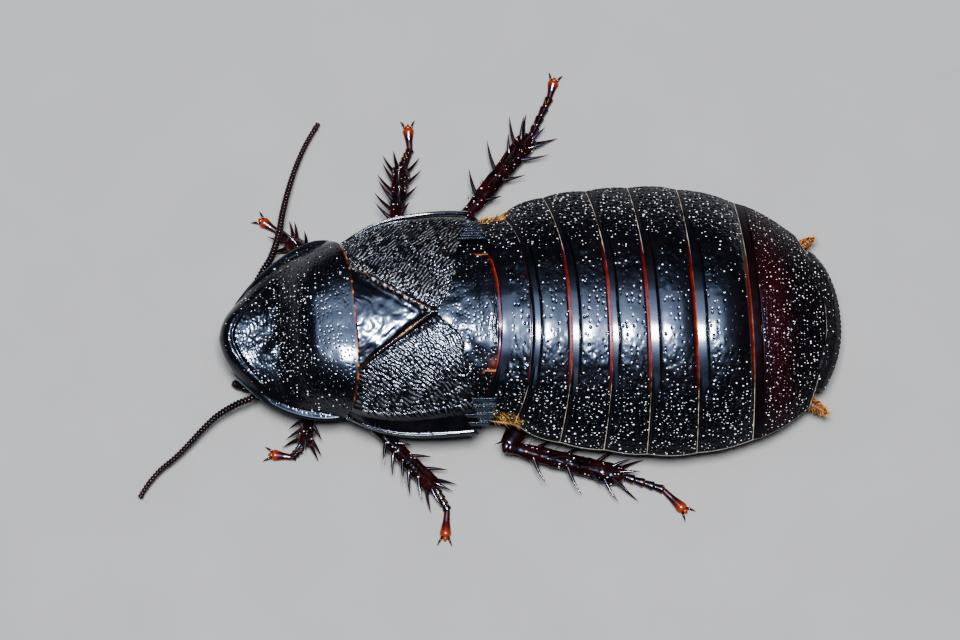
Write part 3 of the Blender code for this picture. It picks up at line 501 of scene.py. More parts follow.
def makeTergite(number):
    g = tergites
    k = number - 1
    end, bow, groove = g["ends"][k], g["bows"][k], g["grooves"][k]
    start = g["ends"][k - 1] if k else g["notumEnd"]
    startBow = g["bows"][k - 1] if k else g["notumBow"]
    isTail = number == 7

    def place(share, across, inner):
        t, skirt = bodyColumns(across)
        first = hindLine(start, startBow, t)
        last = hindLine(end, bow, t) + 0.03 * np.abs(np.sin(t * 60.0)) * isTail
        station = first - g["cover"] + (last - first + g["cover"]) * share
        behind, ahead = station - first, last - station
        back = np.clip(behind / (last - first), 0.0, 1.0)
        half = along(halfWidths, station) * (1.0 + 0.012 * np.sin(math.pi * back))
        offset = t * half
        wobbly = groove + 0.03 * hills(offset, offset * 0.0, 1.7, 40 + number)
        # each plate's front lies level, square to the eye above the body, and its hind part falls away
        level = g["levels"][k] * (along(crowns, first) - along(crowns, station)
                                  + g["facing"] * (first - g["bodyMiddle"]) * np.maximum(behind, 0.0))
        band = g["bandLift"] + 0.004 * np.sin(math.pi * np.clip(behind / groove, 0.0, 1.0)) + level
        past = np.clip((behind - wobbly) / (last - first - groove), 0.0, 1.0)
        fall = np.clip((past - g["fallStart"]) / (1.0 - g["fallStart"]), 0.0, 1.0) ** g["fallPower"]
        face = g["faceLifts"][k] + level - g["shoulder"] * np.clip(1.0 - past / g["fallStart"], 0.0, 1.0) ** 2
        face = face + (g["hindLift"] - face) * fall
        lift = band + (face - band) * smoothStep(0.0, 0.07, behind - wobbly)
        lift = lift - g["grooveDepth"] * bell(behind - wobbly, 0.024)
        flank = smoothStep(0.45, 0.70, np.abs(t)) * (not isTail)
        lift = lift + (face - 0.04 - lift) * flank * smoothStep(0.02, 0.12, behind)
        if number == 1:
            # the first plate has no groove: it rises gently out from under the hind notum
            rising = -0.16 + 0.18 * back + 0.03 * hills(station, offset, 0.9, 48) + level
            lift = rising + (lift - rising) * flank
        lift = lift - 0.25 * smoothStep(0.0, g["cover"], -behind)
        lift = lift - 0.035 * smoothStep(0.30, 0.20, ahead) - 0.10 * (1.0 - np.clip(ahead / 0.09, 0.0, 1.0)) ** 2
        lift = lift * (1.0 - 0.7 * t ** 4)
        # pits: open rows over the back, closer and rougher towards the sides, thick all over the tail
        open_ = smoothStep(0.06, 0.2, behind - wobbly * (1.0 - 0.8 * flank)) * (1.0 - skirt)
        open_ = open_ * smoothStep(0.20 - 0.12 * flank, 0.32 - 0.12 * flank, ahead)
        sideways = smoothStep(0.40, 0.72, np.abs(t))
        seed = 100 + 10 * number
        if isTail:
            hollow = pits(station, offset, g["tailPitSpacing"], g["tailPitRadius"], seed)
            hollow = np.maximum(hollow, 0.6 * pits(station + 3.1, offset, 0.16, 0.06, seed + 1, 0.5))
        else:
            hollow = pits(station * 0.86, offset, g["pitSpacing"], g["pitRadius"], seed, 0.7) * (1.0 - sideways)
            hollow = hollow + pits(station * 0.65, offset, g["sidePitSpacing"], g["sidePitRadius"], seed + 1) * sideways
        sheen = bell((offset + g["sheenSide"]) / 1.3, 1.0) * (not isTail)
        depth = g["pitDepth"] + (g["sidePitDepth"] - g["pitDepth"]) * (0.35 if isTail else 0.0)
        lift = lift - (depth + (g["sidePitDepth"] - depth) * sideways) * hollow * open_
        # the slopes beside the back are beaten like metal, which breaks up the sheen
        beaten = bell(np.abs(t + 0.06) - 0.45, 0.20) * (not isTail) * open_
        lift = lift + beaten * (0.028 * hills(station, offset * 0.8, 0.26, seed + 5)
                                + 0.012 * hills(station, offset, 0.13, seed + 6))
        ripple = hills(station, offset * 0.55, 0.17, seed + 2) * sideways + 0.4 * hills(station, offset, 0.4, seed + 3)
        lift = lift + 0.012 * ripple * open_
        x, y, z = shellPoint(station, t, skirt, inner, lift, half)
        # painted glints: pale specks, sparse over the back, thick at the sides and on the tail, and fewer where the
        # sheen falls
        paintedGlints = g["tailGlints"] if isTail else g["backGlints"] + (g["sideGlints"] - g["backGlints"]) * sideways
        paintedGlints = paintedGlints * smoothStep(0.02, 0.12, open_) * (1.0 - 0.8 * sheen) * (1.0 - inner)
        near = np.clip(1.0 - ahead / 0.5, 0.0, 1.0)
        # painted highlight: the hind margin runs brighter where the sheen crosses it and towards the sides
        near = near * (0.90 + 0.10 * np.maximum(bell((offset + 1.2) / 2.4, 1.0), smoothStep(0.42, 0.6, np.abs(t + 0.08))))
        # the outer margin is a thin roll with a painted highlight: a pale line along it
        near = np.maximum(near, 0.98 * bell((1.0 - np.abs(t)) * half, 0.07) * (skirt < 0.5)) * (1.0 - inner)
        across = np.maximum(np.abs(t + 0.08 * (1.0 - t * t)), 1.0 * isTail)
        wine = 0.36 * bell((station - 31.1) / 1.25, 1.0) * bell(offset / 4.4, 2.0) * (1.0 - inner) * isTail
        return x, y, z, {"nearEdge": near, "across": across, "amber": wine, "paintedGlint": paintedGlints}

    rows = int((end - start + g["cover"]) / g["rowSpacing"])
    columns = int(2.0 * along(halfWidths, start) * 1.1 / g["columnSpacing"])
    sheet = foldedSheet(f"tergite{number}Shell", rows, columns, place)
    finish = finishes["redShell" if isTail else "blackShell"]
    return finishPiece(sheet, finish, "shell_red" if isTail else "shell_black", f"tergite_{number}", sharp=80.0)


for number in range(1, 8):
    makeTergite(number)
print("back plates of the abdomen made")


shield = dict(
    length=8.0, halfWidth=5.2, widest=2.1, frontPower=1.75, flatSidePower=1.48, rearPower=3.0, floor=4.1,
    side=-0.5, rim=0.55, rimTilt=0.32,
    yaw=math.radians(5.5), pitch=math.radians(-3.0), centre=0.45, turns=700, rings=120, innerRings=8,
    narrowest=2.4, archPower=3.4, shelf=0.55, rimRound=0.55, sideRound=0.16, hindRound=0.09,
)
# height of the shield's middle line over its flat underside, from the hind margin forwards
shieldCrowns = ((0.0, 2.93), (0.5, 2.99), (1.0, 3.035), (1.5, 3.05), (2.0, 3.04), (2.5, 2.98), (3.1, 2.70), (3.8, 2.06),
                (4.5, 1.54), (5.1, 1.43), (5.6, 1.42), (6.4, 1.50), (7.0, 1.56), (7.5, 1.5), (8.0, 1.2))


def shieldOutline(turn):
    # a pointed quarter oval in front and a squarer one behind
    s = shield
    sine, cosine = np.sin(turn), np.cos(turn)
    power = np.where(cosine > 0.0, np.where(sine > 0.0, s["frontPower"], s["flatSidePower"]), s["rearPower"])
    reach = np.where(cosine > 0.0, s["length"] - s["widest"], s["widest"])
    forward = np.sign(cosine) * np.abs(cosine) ** (2.0 / power) * reach + s["widest"]
    return forward, np.sign(sine) * np.abs(sine) ** (2.0 / power) * s["halfWidth"]


def shieldHeight(u, w):
    # arched across: a glossy hump behind, a slope, and a flat disc in front with two low knobs
    s = shield
    ahead = np.clip((u - s["widest"]) / (s["length"] - s["widest"]), 0.0, 1.0)
    power = np.where(w > 0.0, s["frontPower"], s["flatSidePower"])     # the right front margin is pressed flatter
    half = s["halfWidth"] * (1.0 - ahead ** power) ** (1.0 / power)
    half = (half ** 4 + s["narrowest"] ** 4) ** 0.25
    flat = smoothStep(0.4, 3.0, u)
    t = np.clip(np.abs(w) / (half - s["shelf"] * flat), 0.0, 1.0)
    rise = (1.0 - t ** s["archPower"]) ** (0.85 + 0.3 * flat)
    knobs = sum(0.12 * np.exp(-((u - 4.9) ** 2 + (w - side) ** 2) / 0.25) for side in (-1.1, 1.1))
    return s["rim"] + (along(shieldCrowns, u) - s["rim"]) * rise + knobs


def makeShield():
    s = shield
    total = s["rings"] + s["innerRings"]
    sheet, down, across = newGrid("neckShield", total, s["turns"])
    row = np.rint(down * total).astype(int)
    inner = row > s["rings"]
    inward = np.where(inner, (row - s["rings"]) / s["innerRings"], 1.0 - row / s["rings"])
    # rows run from the middle of the top out to the rim, round it and back in underneath
    edgeU, edgeW = shieldOutline(math.pi * across)
    centre = s["length"] * s["centre"]
    u = edgeU + (centre - edgeU) * inward
    w = edgeW * (1.0 - inward)
    atRim = np.hypot(edgeU - u, edgeW - w)
    front = smoothStep(5.2, 7.0, edgeU)
    behind = smoothStep(1.2, 0.4, edgeU)
    disc = bell(np.hypot((u - 6.1) / 1.25, w / 1.9) ** 2, 1.0)
    mottled = bell(np.hypot((u - 5.0) / 1.7, w / 2.2) ** 2, 1.0)
    # the front rim is a thick roll with a groove inside it, the side rim a thin turned-up line
    bead = front * (0.02 * bell(atRim - 0.62, 0.08) - 0.07 * bell(atRim - 0.85, 0.09) + 0.02 * bell(atRim - 1.02, 0.07))
    bead = bead + (1.0 - front) * (1.0 - behind) * (0.03 * bell(atRim - 0.09, 0.05) - 0.05 * bell(atRim - 0.55, 0.2))
    # the hollow disc is finely wrinkled in arcs that follow the front rim
    arcs = np.sin(np.hypot(u - 3.0, w * 0.72) * 2.0 * math.pi / 0.21 + 3.0 * hills(u, w, 0.35, 5))
    wrinkles = (0.006 * arcs + 0.012 * hills(u, w, 0.11, 6)) * disc
    wrinkles = wrinkles + (0.042 * hills(u, w, 0.5, 13) + 0.014 * hills(u, w, 0.2, 14)) * mottled
    near = smoothStep(1.9, 3.1, u) * smoothStep(7.0, 6.2, u) * smoothStep(3.4, 2.2, np.abs(w))
    fine = pits(u + 20.0, w + 20.0, 0.20, 0.070, 7, 0.85) * near * (1.0 - 0.8 * disc)
    wide = pits(u + 20.0, w + 20.0, 0.25, 0.062, 8, 0.85) * (1.0 - near) * (1.0 - disc)
    steep = smoothStep(2.0, 3.6, np.abs(w)) + smoothStep(2.4, 3.0, u) * smoothStep(5.0, 4.2, u)
    depth = 0.022 + 0.045 * np.clip(steep, 0.0, 1.0)
    ripple = 0.03 * hills(u, w, 1.3, 9) * front + 0.010 * hills(u, w, 0.5, 10)
    streaks = 0.02 * hills(atRim, u * 0.3, 0.16, 11) * bell(atRim - 0.6, 0.3) * (1.0 - front) * (1.0 - behind)
    clear = smoothStep(0.18, 0.40, atRim)
    turned = s["sideRound"] + (s["rimRound"] - s["sideRound"]) * front + (s["hindRound"] - s["sideRound"]) * behind
    fallen = turned * (1.0 - np.sqrt(np.clip(1.0 - (1.0 - np.clip(atRim / turned, 0.0, 1.0)) ** 2, 0.0, 1.0)))
    fallen = fallen + s["rimTilt"] * np.clip(s["shelf"] - atRim, 0.0, None) * (1.0 - front) * (1.0 - behind)
    top = shieldHeight(u, w) + bead + (wrinkles + ripple + streaks - depth * (fine + wide)) * clear - fallen
    height = np.where(inner, 0.04 + 0.5 * smoothStep(0.0, 0.35, inward), np.maximum(top, 0.3))
    x, y = -u, -w
    x, height = x * math.cos(s["pitch"]) + height * math.sin(s["pitch"]), height * math.cos(s["pitch"]) - x * math.sin(s["pitch"])
    x, y = x * math.cos(s["yaw"]) - y * math.sin(s["yaw"]), x * math.sin(s["yaw"]) + y * math.cos(s["yaw"])
    putPoints(sheet, x + s["length"], y + s["side"], height + s["floor"])
    hind = bell(atRim - 0.05, 0.10) * smoothStep(0.9, 0.5, edgeU) * (~inner)
    paint(sheet, "amber", np.clip(hind * (0.52 + 0.6 * hills(w, u, 0.16, 12)), 0.0, 1.0))
    # painted glints: pale specks, thicker over the middle outside the disc and fewer on the hump where the sheen falls
    onHump = bell((w - 0.9) / 1.3, 1.0) * smoothStep(2.6, 2.0, u)
    paintedGlints = (0.22 + 0.34 * near * (1.0 - disc) + 0.15 * hills(u, w, 0.7, 16)) * (1.0 - 0.7 * onHump)
    paint(sheet, "paintedGlint", np.clip(paintedGlints, 0.0, 1.0) * smoothStep(0.1, 0.3, clear) * (~inner))
    return finishPiece(sheet, finishes["blackShell"], "shell_black", "pronotum", sharp=80.0)


makeShield()
print("neck shield made")


notum = dict(start=8.35, middleEnd=12.0, end=15.95, bow=1.5, scutellum=2.45, sunk=0.30, ridge=0.16, spacing=0.040)


def makeMiddlePlate():
    # the mesonotum: only its raised triangle, the scutellum, shows between the wing bases
    n = notum
    start, end = n["start"] - 1.1, n["middleEnd"] + 0.35

    def place(share, across, inner):
        t, skirt = bodyColumns(across)
        station = start + (end - start) * share
        half = along(halfWidths, station)
        offset = t * half
        peak = n["scutellum"] * np.clip((n["middleEnd"] - station) / (n["middleEnd"] - n["start"]), 0.0, 1.3) + 0.05
        fromLine = np.abs(offset) - peak
        sunk = -n["sunk"] * smoothStep(0.15, 0.5, fromLine) * (1.0 - t ** 10)
        ridge = n["ridge"] * bell(fromLine + 0.02, 0.15) * smoothStep(8.0, 8.6, station)
        notched = np.sin(station * 2 * math.pi / 0.19 + 2.5 * hills(station, offset, 0.4, 21))
        # shallow dents that follow the two arms, a few deeper dimples and scattered punctures
        dent = -0.04 * bell(fromLine + 0.5, 0.25) - 0.05 * bell(np.hypot(station - 9.4, (offset - 0.3) * 0.8), 0.7)
        soft = 0.035 * hills(station + 0.3 * offset, offset, 0.85, 23) + 0.012 * hills(station, offset, 0.33, 22)
        soft = soft + 0.010 * hills(fromLine + 0.5 * hills(station, offset, 0.7, 28), station * 0.5, 0.22, 27)
        soft = soft + 0.003 * hills(station, offset, 0.14, 25)
        inside = smoothStep(0.05, -0.25, fromLine)
        level = (0.02 * offset ** 2 + 0.04 * offset) * smoothStep(0.3, -0.2, fromLine)
        lift = sunk + level + ridge * (1.0 + 0.06 * notched) + (dent + soft) * inside
        x, y, z = shellPoint(station, t, skirt, inner, lift, half)
        pale = bell(fromLine + 0.02, 0.12) * smoothStep(12.3, 11.4, station)
        pale = pale * np.where(offset > 0.0, 0.6, 0.35 + 0.65 * bell((station - 10.7) / 0.9, 1.0))
        # painted glints: white flecks broken along the right arm of the scutellum
        armGlint = bell(fromLine + 0.06, 0.10) * smoothStep(0.1, 0.7, hills(station, offset, 0.12, 26)) * (offset > 0.0)
        return x, y, z, {"amber": pale * (0.65 + 0.35 * hills(station, offset, 0.13, 24)) * (1.0 - inner),
                         "paintedGlint": 0.7 * armGlint * (1.0 - inner)}

    rows = int((end - start) / n["spacing"])
    columns = int(2.0 * along(halfWidths, end) * 1.1 / n["spacing"])
    sheet = foldedSheet("scutellumPlate", rows, columns, place)
    return finishPiece(sheet, finishes["forewing"], "shell_black", "mesonotum", sharp=80.0)


def makeHindNotum():
    # the metanotum: glossy and pitted where the worn wings leave it bare, amber at its hind corners
    n = notum
    start, end = 11.2, n["end"]

    def place(share, across, inner):
        t, skirt = bodyColumns(across)
        last = hindLine(end, n["bow"], t)
        station = start + (last - start) * share
        ahead = last - station
        half = along(halfWidths, station)
        offset = t * half
        bare = smoothStep(12.2, 13.4, station)
        level = along(crowns, 14.3) - along(crowns, station)
        lift = -0.22 + 0.8 * level + 0.13 * smoothStep(13.8, 15.7, station)
        # two soft oblique furrows, and a fine double fold that runs along ahead of the hind margin
        furrow = np.abs(offset) - (0.55 + 0.32 * (station - 12.4))
        fold = -0.012 * bell(furrow, 0.3) * bare
        for away, deep in ((0.42, 0.05), (0.60, 0.03)):
            fold = fold - deep * bell(ahead - away - 0.10 * hills(offset, 0.0 * offset, 0.9, 34), 0.045) * bell(offset / 2.8, 1.0)
        lift = (lift + fold + 0.04 * hills(station, offset, 0.8, 33) * bare) * (1.0 - 0.7 * t ** 4)
        lift = lift - 0.03 * smoothStep(0.30, 0.20, ahead) - 0.09 * (1.0 - np.clip(ahead / 0.09, 0.0, 1.0)) ** 2
        open_ = bare * smoothStep(0.22, 0.34, ahead) * (1.0 - skirt)
        sideways = smoothStep(0.25, 0.5, np.abs(t))
        hollow = pits(station, offset, 0.25, 0.08, 31, 0.85) * (0.35 + 0.65 * sideways)
        lift = lift + open_ * (-0.06 * hollow + 0.02 * hills(station, offset, 0.45, 32))
        x, y, z = shellPoint(station, t, skirt, inner, lift, half)
        sideEdge = np.abs(offset) - 3.4 - 0.12 * hills(station, offset * 0.0, 0.4, 36)
        corner = 0.8 * bell(sideEdge, 0.07) * smoothStep(14.3, 14.8, station)
        corner = corner + 0.55 * bell(offset + 2.9, 0.35) * bell(station - 15.25, 0.32)
        near = np.clip(1.0 - ahead / 0.5, 0.0, 1.0) * (1.0 - inner)
        # painted glints: pale specks, mostly at the sides and none where the sheen falls
        paintedGlint = (0.04 + 0.26 * sideways) * smoothStep(0.1, 0.3, open_) * (1.0 - bell((offset + 1.5) / 1.2, 1.0))
        return x, y, z, {"nearEdge": near, "across": np.abs(t) * 0.5, "amber": np.clip(corner, 0.0, 1.0) * (1.0 - inner),
                         "paintedGlint": paintedGlint * (1.0 - inner)}

    rows = int((end - start) / n["spacing"])
    columns = int(2.0 * along(halfWidths, end) * 1.1 / n["spacing"])
    sheet = foldedSheet("hindNotum", rows, columns, place)
    return finishPiece(sheet, finishes["blackShell"], "shell_black", "metanotum", sharp=80.0)


makeMiddlePlate()
makeHindNotum()
print("thorax plates made")


wings = dict(
    bases=dict(right=7.1, left=6.85), baseInner=(7.5, 3.15), tipSide=0.1, thickness=0.14, rows=270, columns=245,
    strips=dict(right=0.89, left=0.79),
    torn=dict(right=((0.0, 12.35), (0.18, 13.4), (0.5, 13.42), (0.66, 13.75), (1.0, 14.45)),
              left=((0.0, 12.3), (0.2, 13.65), (0.42, 13.7), (0.55, 13.85), (1.0, 14.2))),
    vein=0.012, wrinkle=0.044, wrinkleSpacings=dict(right=0.27, left=0.33), stubs=dict(right=(4.3, 5.5), left=(4.7, 6.1)),
    stubEnd=15.35, stubFall=0.55,
)


def tornLine(name, v, seed):
    shares, stations = zip(*wings["torn"][name])
    ragged = 0.13 * hills(v * 6.0, v * 0.0, 0.42, seed) + 0.06 * hills(v * 6.0, v * 0.0, 0.15, seed + 1)
    return np.interp(v, shares, stations) + ragged * smoothStep(1.0, 0.9, v)


def makeForewing(side, name, seed):
    # the tegmen, leathery and finely wrinkled, its hind part worn away to a torn edge
    w = wings
    shownRows, innerRows = w["rows"], 4
    total = shownRows + innerRows
    sheet, down, across = newGrid(f"forewing{name.capitalize()}", total, w["columns"])
    row = np.rint(down * total).astype(int)
    under = row > shownRows
    u = np.where(under, 1.0 - (row - shownRows) / innerRows, row / shownRows)
    v = (across + 1.0) / 2.0
    lastOuter = w["torn"][name][-1][1]
    baseInner = (w["baseInner"][0], side * w["baseInner"][1])
    tipInner = (w["torn"][name][0][1], side * w["tipSide"])

    def outer(u):
        station = w["bases"][name] + (lastOuter - w["bases"][name]) * u
        return station, side * along(wingHalfWidths[name], station)

    def inner(u):
        return [a + (b - a) * u for a, b in zip(baseInner, tipInner)]

    def base(v):
        return [a + (b - a) * v for a, b in zip(baseInner, outer(0.0))]

    def hind(v):
        return tornLine(name, v, seed), tipInner[1] + (outer(1.0)[1] - tipInner[1]) * v

    spots = []
    for k in (0, 1):
        corner = ((1 - u) * (1 - v) * inner(0.0)[k] + (1 - u) * v * outer(0.0)[k]
                  + u * (1 - v) * inner(1.0)[k] + u * v * outer(1.0)[k])
        spots.append((1 - v) * inner(u)[k] + v * outer(u)[k] + (1 - u) * base(v)[k] + u * hind(v)[k] - corner)
    station, offset = spots
    t = offset / along(wingHalfWidths[name], station)
    # wrinkles start square to the scutellum and turn to run along the outer margin
    outward = np.abs(offset)
    line = station - 0.70 * outward - 0.06 * outward ** 2
    line = line + 0.10 * hills(station, offset, 0.5, seed + 2)
    apart = w["wrinkleSpacings"][name]
    worms = wrinkles(line / apart, (outward + 0.75 * station) / apart, seed + 3)
    edgeOfStrip = w["strips"][name]
    strip = smoothStep(edgeOfStrip - 0.02, edgeOfStrip + 0.02, v)
    steeper = 0.7 + 0.2 * np.abs(offset + 1.5)         # wrinkles deepen away from the level middle of the back
    relief = 0.5 * w["wrinkle"] * worms * (1.0 - strip) * steeper
    relief = relief + 0.010 * hills(station, offset, 0.10, seed + 6) * (1.0 - strip)
    veins = sum(bell((v - place - 0.04 * hills(u * 4.0, v * 0.0, 1.0, seed + 7)) * 6.0, 0.08)
                for place in (0.16, 0.34, 0.52, 0.66))
    relief = relief + w["vein"] * veins * (1.0 - strip) * smoothStep(0.0, 0.15, u)
    relief = relief + 0.06 * bell((v - edgeOfStrip + 0.02) * 6.0, 0.12)
    relief = relief - 0.12 * smoothStep(edgeOfStrip, edgeOfStrip + 0.05, v) * smoothStep(1.0, 0.93, v)
    relief = relief + 0.10 * bell((1.0 - v) * 6.0 - 0.12, 0.10)
    relief = relief - 0.03 * pits(station, offset, 0.24, 0.055, seed + 8, 0.7) * strip * smoothStep(0.97, 0.94, v)
    relief = relief + 0.045 * hills(station, offset, 1.0, seed + 9)
    tuck = smoothStep(0.06, 0.0, v) * 0.05 + 0.05 * smoothStep(0.03, 0.0, 1.0 - u) + 0.16 * smoothStep(0.12, 0.03, u)
    height = backHeight(station, t) + relief * ~under - tuck - w["thickness"] * under
    x, y = onBody(station, offset)
    putPoints(sheet, x, y, height)
    # painted highlights: pale on the wrinkle crests, more on the right wing and most beside the scutellum's arm
    crest = smoothStep(0.2, 0.8, worms) * smoothStep(-0.5, 0.3, hills(station, offset, 0.22, seed + 11)) * (1.0 - strip)
    besideArm = bell(v, 0.10) * (side > 0.0)
    paint(sheet, "paintedGlint", (0.08 + 0.06 * (side > 0.0) + 0.30 * besideArm) * crest * (~under))
    return finishPiece(sheet, finishes["forewing"], "forewing", f"tegmen_{name}", sharp=80.0)


def makeHindwing(side, name, seed):
    # what is left of the hind wing: a pleated grey membrane that looks out behind the forewing's corner
    w = wings
    sheet, u, across = newGrid(f"hindwing{name.capitalize()}", 60, 70)
    v = (across + 1.0) / 2.0
    stubInner, stubOuter = w["stubs"][name]
    offset = side * (stubInner + (stubOuter - stubInner) * v)
    first = tornLine(name, 0.58 + 0.32 * v, seed - 10) - 0.5
    last = w["stubEnd"] - w["stubFall"] * v + 0.12 * hills(v * 3.0, v * 0.0, 0.35, seed) * smoothStep(0.0, 0.2, v)
    station = first + (last - first) * u
    t = offset / along(wingHalfWidths[name], station)
    pleats = 0.11 * np.sin(v * 2.0 * math.pi * 3.5) * (0.55 + 0.45 * u)
    cross = 0.012 * np.sin(station * 2 * math.pi / 0.16 + 2.0 * hills(station, offset, 0.3, seed + 2))
    height = backHeight(station, t) - 0.13 + pleats + cross - 0.05 * u
    x, y = onBody(station, offset)
    putPoints(sheet, x, y, height)
    pick(sheet)
    if sum(face.normal.z for face in list(sheet.data.polygons)[::17]) < 0.0:
        sheet.data.flip_normals()
    wall = sheet.modifiers.new("wall", "SOLIDIFY")
    wall.thickness = 0.09 * mm
    wall.offset = -1.0
    bpy.ops.object.modifier_apply(modifier="wall")
    return finishPiece(sheet, finishes["hindwing"], "hindwing", f"hindwing_{name}", sharp=70.0)


for side, name, seed in ((1.0, "right", 300), (-1.0, "left", 340)):
    makeForewing(side, name, seed)
    makeHindwing(side, name, seed + 10)
print("wings made")


tail = dict(start=34.15, bow=1.25, end=35.0, tailBow=1.2, halfWidth=3.95, teeth=26, tooth=0.04)


def makeTailPlate():
    # the supra-anal plate, dull, rough and scalloped along its hind edge
    p = tail

    def place(share, across, inner):
        offset = across * p["halfWidth"]
        first = hindLine(p["start"], p["bow"], offset / along(halfWidths, 33.0)) - 0.35
        scallop = p["tooth"] * (np.abs(np.sin(across * math.pi * p["teeth"] / 2.0)) - 0.5)
        last = hindLine(p["end"], p["tailBow"], across) + scallop * smoothStep(0.5, 1.0, share)
        station = first + (last - first) * share
        lift = np.interp(share, (0.0, 0.25, 0.75, 1.0), (-0.10, -0.05, -0.10, -0.32))
        lift = lift - 0.35 * smoothStep(0.72, 1.0, np.abs(across))
        rough = 0.03 * hills(station, offset, 0.14, 51) - 0.03 * pits(station, offset, 0.2, 0.07, 52)
        top = backHeight(station, offset / 4.9) + lift + rough * smoothStep(0.0, 0.3, share)
        under = along(edges, station) - 0.42
        top = np.maximum(top, under + 0.12 + 0.2 * (1.0 - np.abs(across) ** 4))
        x, y = onBody(station, offset)
        pale = 0.20 * smoothStep(0.5, 1.0, share) + 0.12 * hills(station, offset, 0.25, 53) * share
        # painted glints: pale specks over the whole top face
        return x, y, np.where(inner, under, top), {"amber": np.clip(pale, 0.0, 1.0) * (1.0 - inner),
                                                   "paintedGlint": 0.35 * (1.0 - inner)}

    sheet = foldedSheet("supraAnalShell", 34, 190, place)
    return finishPiece(sheet, finishes["tailPlate"], "tail_plate", "supra_anal_plate", sharp=70.0)


sternites = dict(inset=0.35, lastInset=1.0, tipInset=1.5, spacing=0.08, cover=0.4, thickness=0.25)


def makeBellyPlate(name, node, start, startBow, end, bow, inset, endInset, seed, finish="underside"):
    # a belly plate: smooth, dark red-brown, with scattered small pits and a paler hind rim
    p = sternites

    def place(share, across, inner):
        t = 0.75 * across + 0.25 * np.sin(math.pi / 2.0 * across)
        first = hindLine(start, startBow, t) - p["cover"]
        last = hindLine(end, bow, t)
        station = first + (last - first) * share
        ahead = last - station
        behind = np.clip(station - first - p["cover"], 0.0, None)
        half = along(halfWidths, station) - inset - (endInset - inset) * share
        top = along(edges, station) - body["margin"] - 0.02
        bottom = along(bellies, station)
        drop = -0.12 + 0.24 * np.clip(behind / (last - first - p["cover"]), 0.0, 1.0)
        drop = drop - 0.08 * (1.0 - np.clip(ahead / 0.1, 0.0, 1.0)) ** 2
        drop = drop - 0.03 * pits(station, t * half, 0.42, 0.09, seed, 0.7) * smoothStep(0.25, 0.4, ahead)
        drop = drop + 0.015 * hills(station, t * half, 0.6, seed + 1)
        outer = top - (top - bottom + drop) * arch(t)
        x, y = onBody(station, t * half)
        near = np.clip(1.0 - ahead / 0.5, 0.0, 1.0) * 0.86 * (1.0 - inner)
        return x, y, np.where(inner, top + 0.05 * arch(t), outer), {"nearEdge": near, "across": 0.0 * t}

    rows = int((end - start + p["cover"]) / p["spacing"])
    columns = int(2.2 * along(halfWidths, end) / p["spacing"])
    sheet = foldedSheet(name, rows, columns, place)
    return finishPiece(sheet, finishes[finish], "underside", node, sharp=80.0)


makeTailPlate()
previous, previousBow = notum["end"], 0.0
for number, (end, bow) in enumerate(zip(tergites["ends"], tergites["bows"]), 1):
    isLast = number == 7
    firstInset = sternites["lastInset"] if isLast else sternites["inset"]
    endInset = sternites["inset"] if number < 6 else sternites["lastInset" if number == 6 else "tipInset"]
    node = "subgenital_plate" if isLast else f"sternite_{number}"
    name = "subgenitalShell" if isLast else f"sternite{number}Shell"
    makeBellyPlate(name, node, previous, previousBow, end, bow, firstInset, endInset, 400 + 5 * number)
    previous, previousBow = end, bow
for name, node, start, end in (("neckBreastPlate", "prosternum", 4.9, 7.9),
                               ("middleBreastPlate", "mesosternum", 8.35, 12.1),
                               ("hindBreastPlate", "metasternum", 12.3, 16.2)):
    makeBellyPlate(name, node, start, 0.0, end, 0.0, 1.6, 1.6, 450)
print("belly plates made")


def unitSpine(name, sides, rings, bow):
    # one spine or bristle, a unit long and a unit thick at its root, bowed a little to one side
    spike, share, turn, reach = ringedTube(name, sides, rings)
    thick = 0.95 * (1.0 - share ** 1.35) ** 0.9 + 0.05
    thick = thick * (1.0 + 0.25 * bell(share, 0.05))
    setPoints(spike, np.column_stack((thick * reach * np.cos(turn), thick * reach * np.sin(turn), share)))
    paint(spike, "amber", 0.75 * share ** 1.5)
    spike["bow"] = bow
    return spike


masters = {"spine": unitSpine("spineMaster", 9, 8, 0.06), "hair": unitSpine("hairMaster", 5, 3, 0.10)}
for master in masters.values():
    bakeMap = master.data.uv_layers.new(name="OFBake")
    for loop in master.data.loops:
        spot = master.data.vertices[loop.vertex_index].co
        bakeMap.data[loop.index].uv = (spot.x * 0.0012 + 0.0015, spot.z * 0.003)


def stamp(kind, root, tip, radius, lean=(0.0, 0.0, -1.0), lowest=0.02):
    # a copy of a master spine from root to tip, in body millimetres, bowed towards `lean`
    master = masters[kind]
    copy = master.copy()
    copy.data = master.data.copy()
    bpy.context.collection.objects.link(copy)
    root, tip = np.array(root, float), np.array(tip, float)
    axis = tip - root
    length = np.linalg.norm(axis)
    axis = axis / length
    aside = np.cross(axis, (0.0, 0.0, 1.0)) if abs(axis[2]) < 0.95 else np.cross(axis, (1.0, 0.0, 0.0))
    aside = aside / np.linalg.norm(aside)
    other = np.cross(aside, axis)
    unit = pointsOf(copy)
    bow = master["bow"] * length * (unit[:, 2:] * (1.0 - unit[:, 2:])) * 4.0
    spots = (root + axis * unit[:, 2:] * length + (aside * unit[:, :1] + other * unit[:, 1:2]) * radius
             - np.array(lean) * bow)
    spots[:, 2] = np.maximum(spots[:, 2], lowest)
    putPoints(copy, spots[:, 0], spots[:, 1], spots[:, 2])
    bakeMap = copy.data.uv_layers["OFBake"].data
    spread = np.empty(len(bakeMap) * 2, np.float32)
    bakeMap.foreach_get("uv", spread)
    spread = spread.reshape(-1, 2) + ((root[0] + 6.0) / 50.0, (root[1] + 16.0) / 34.0)
    bakeMap.foreach_set("uv", spread.astype(np.float32).ravel())
    return copy


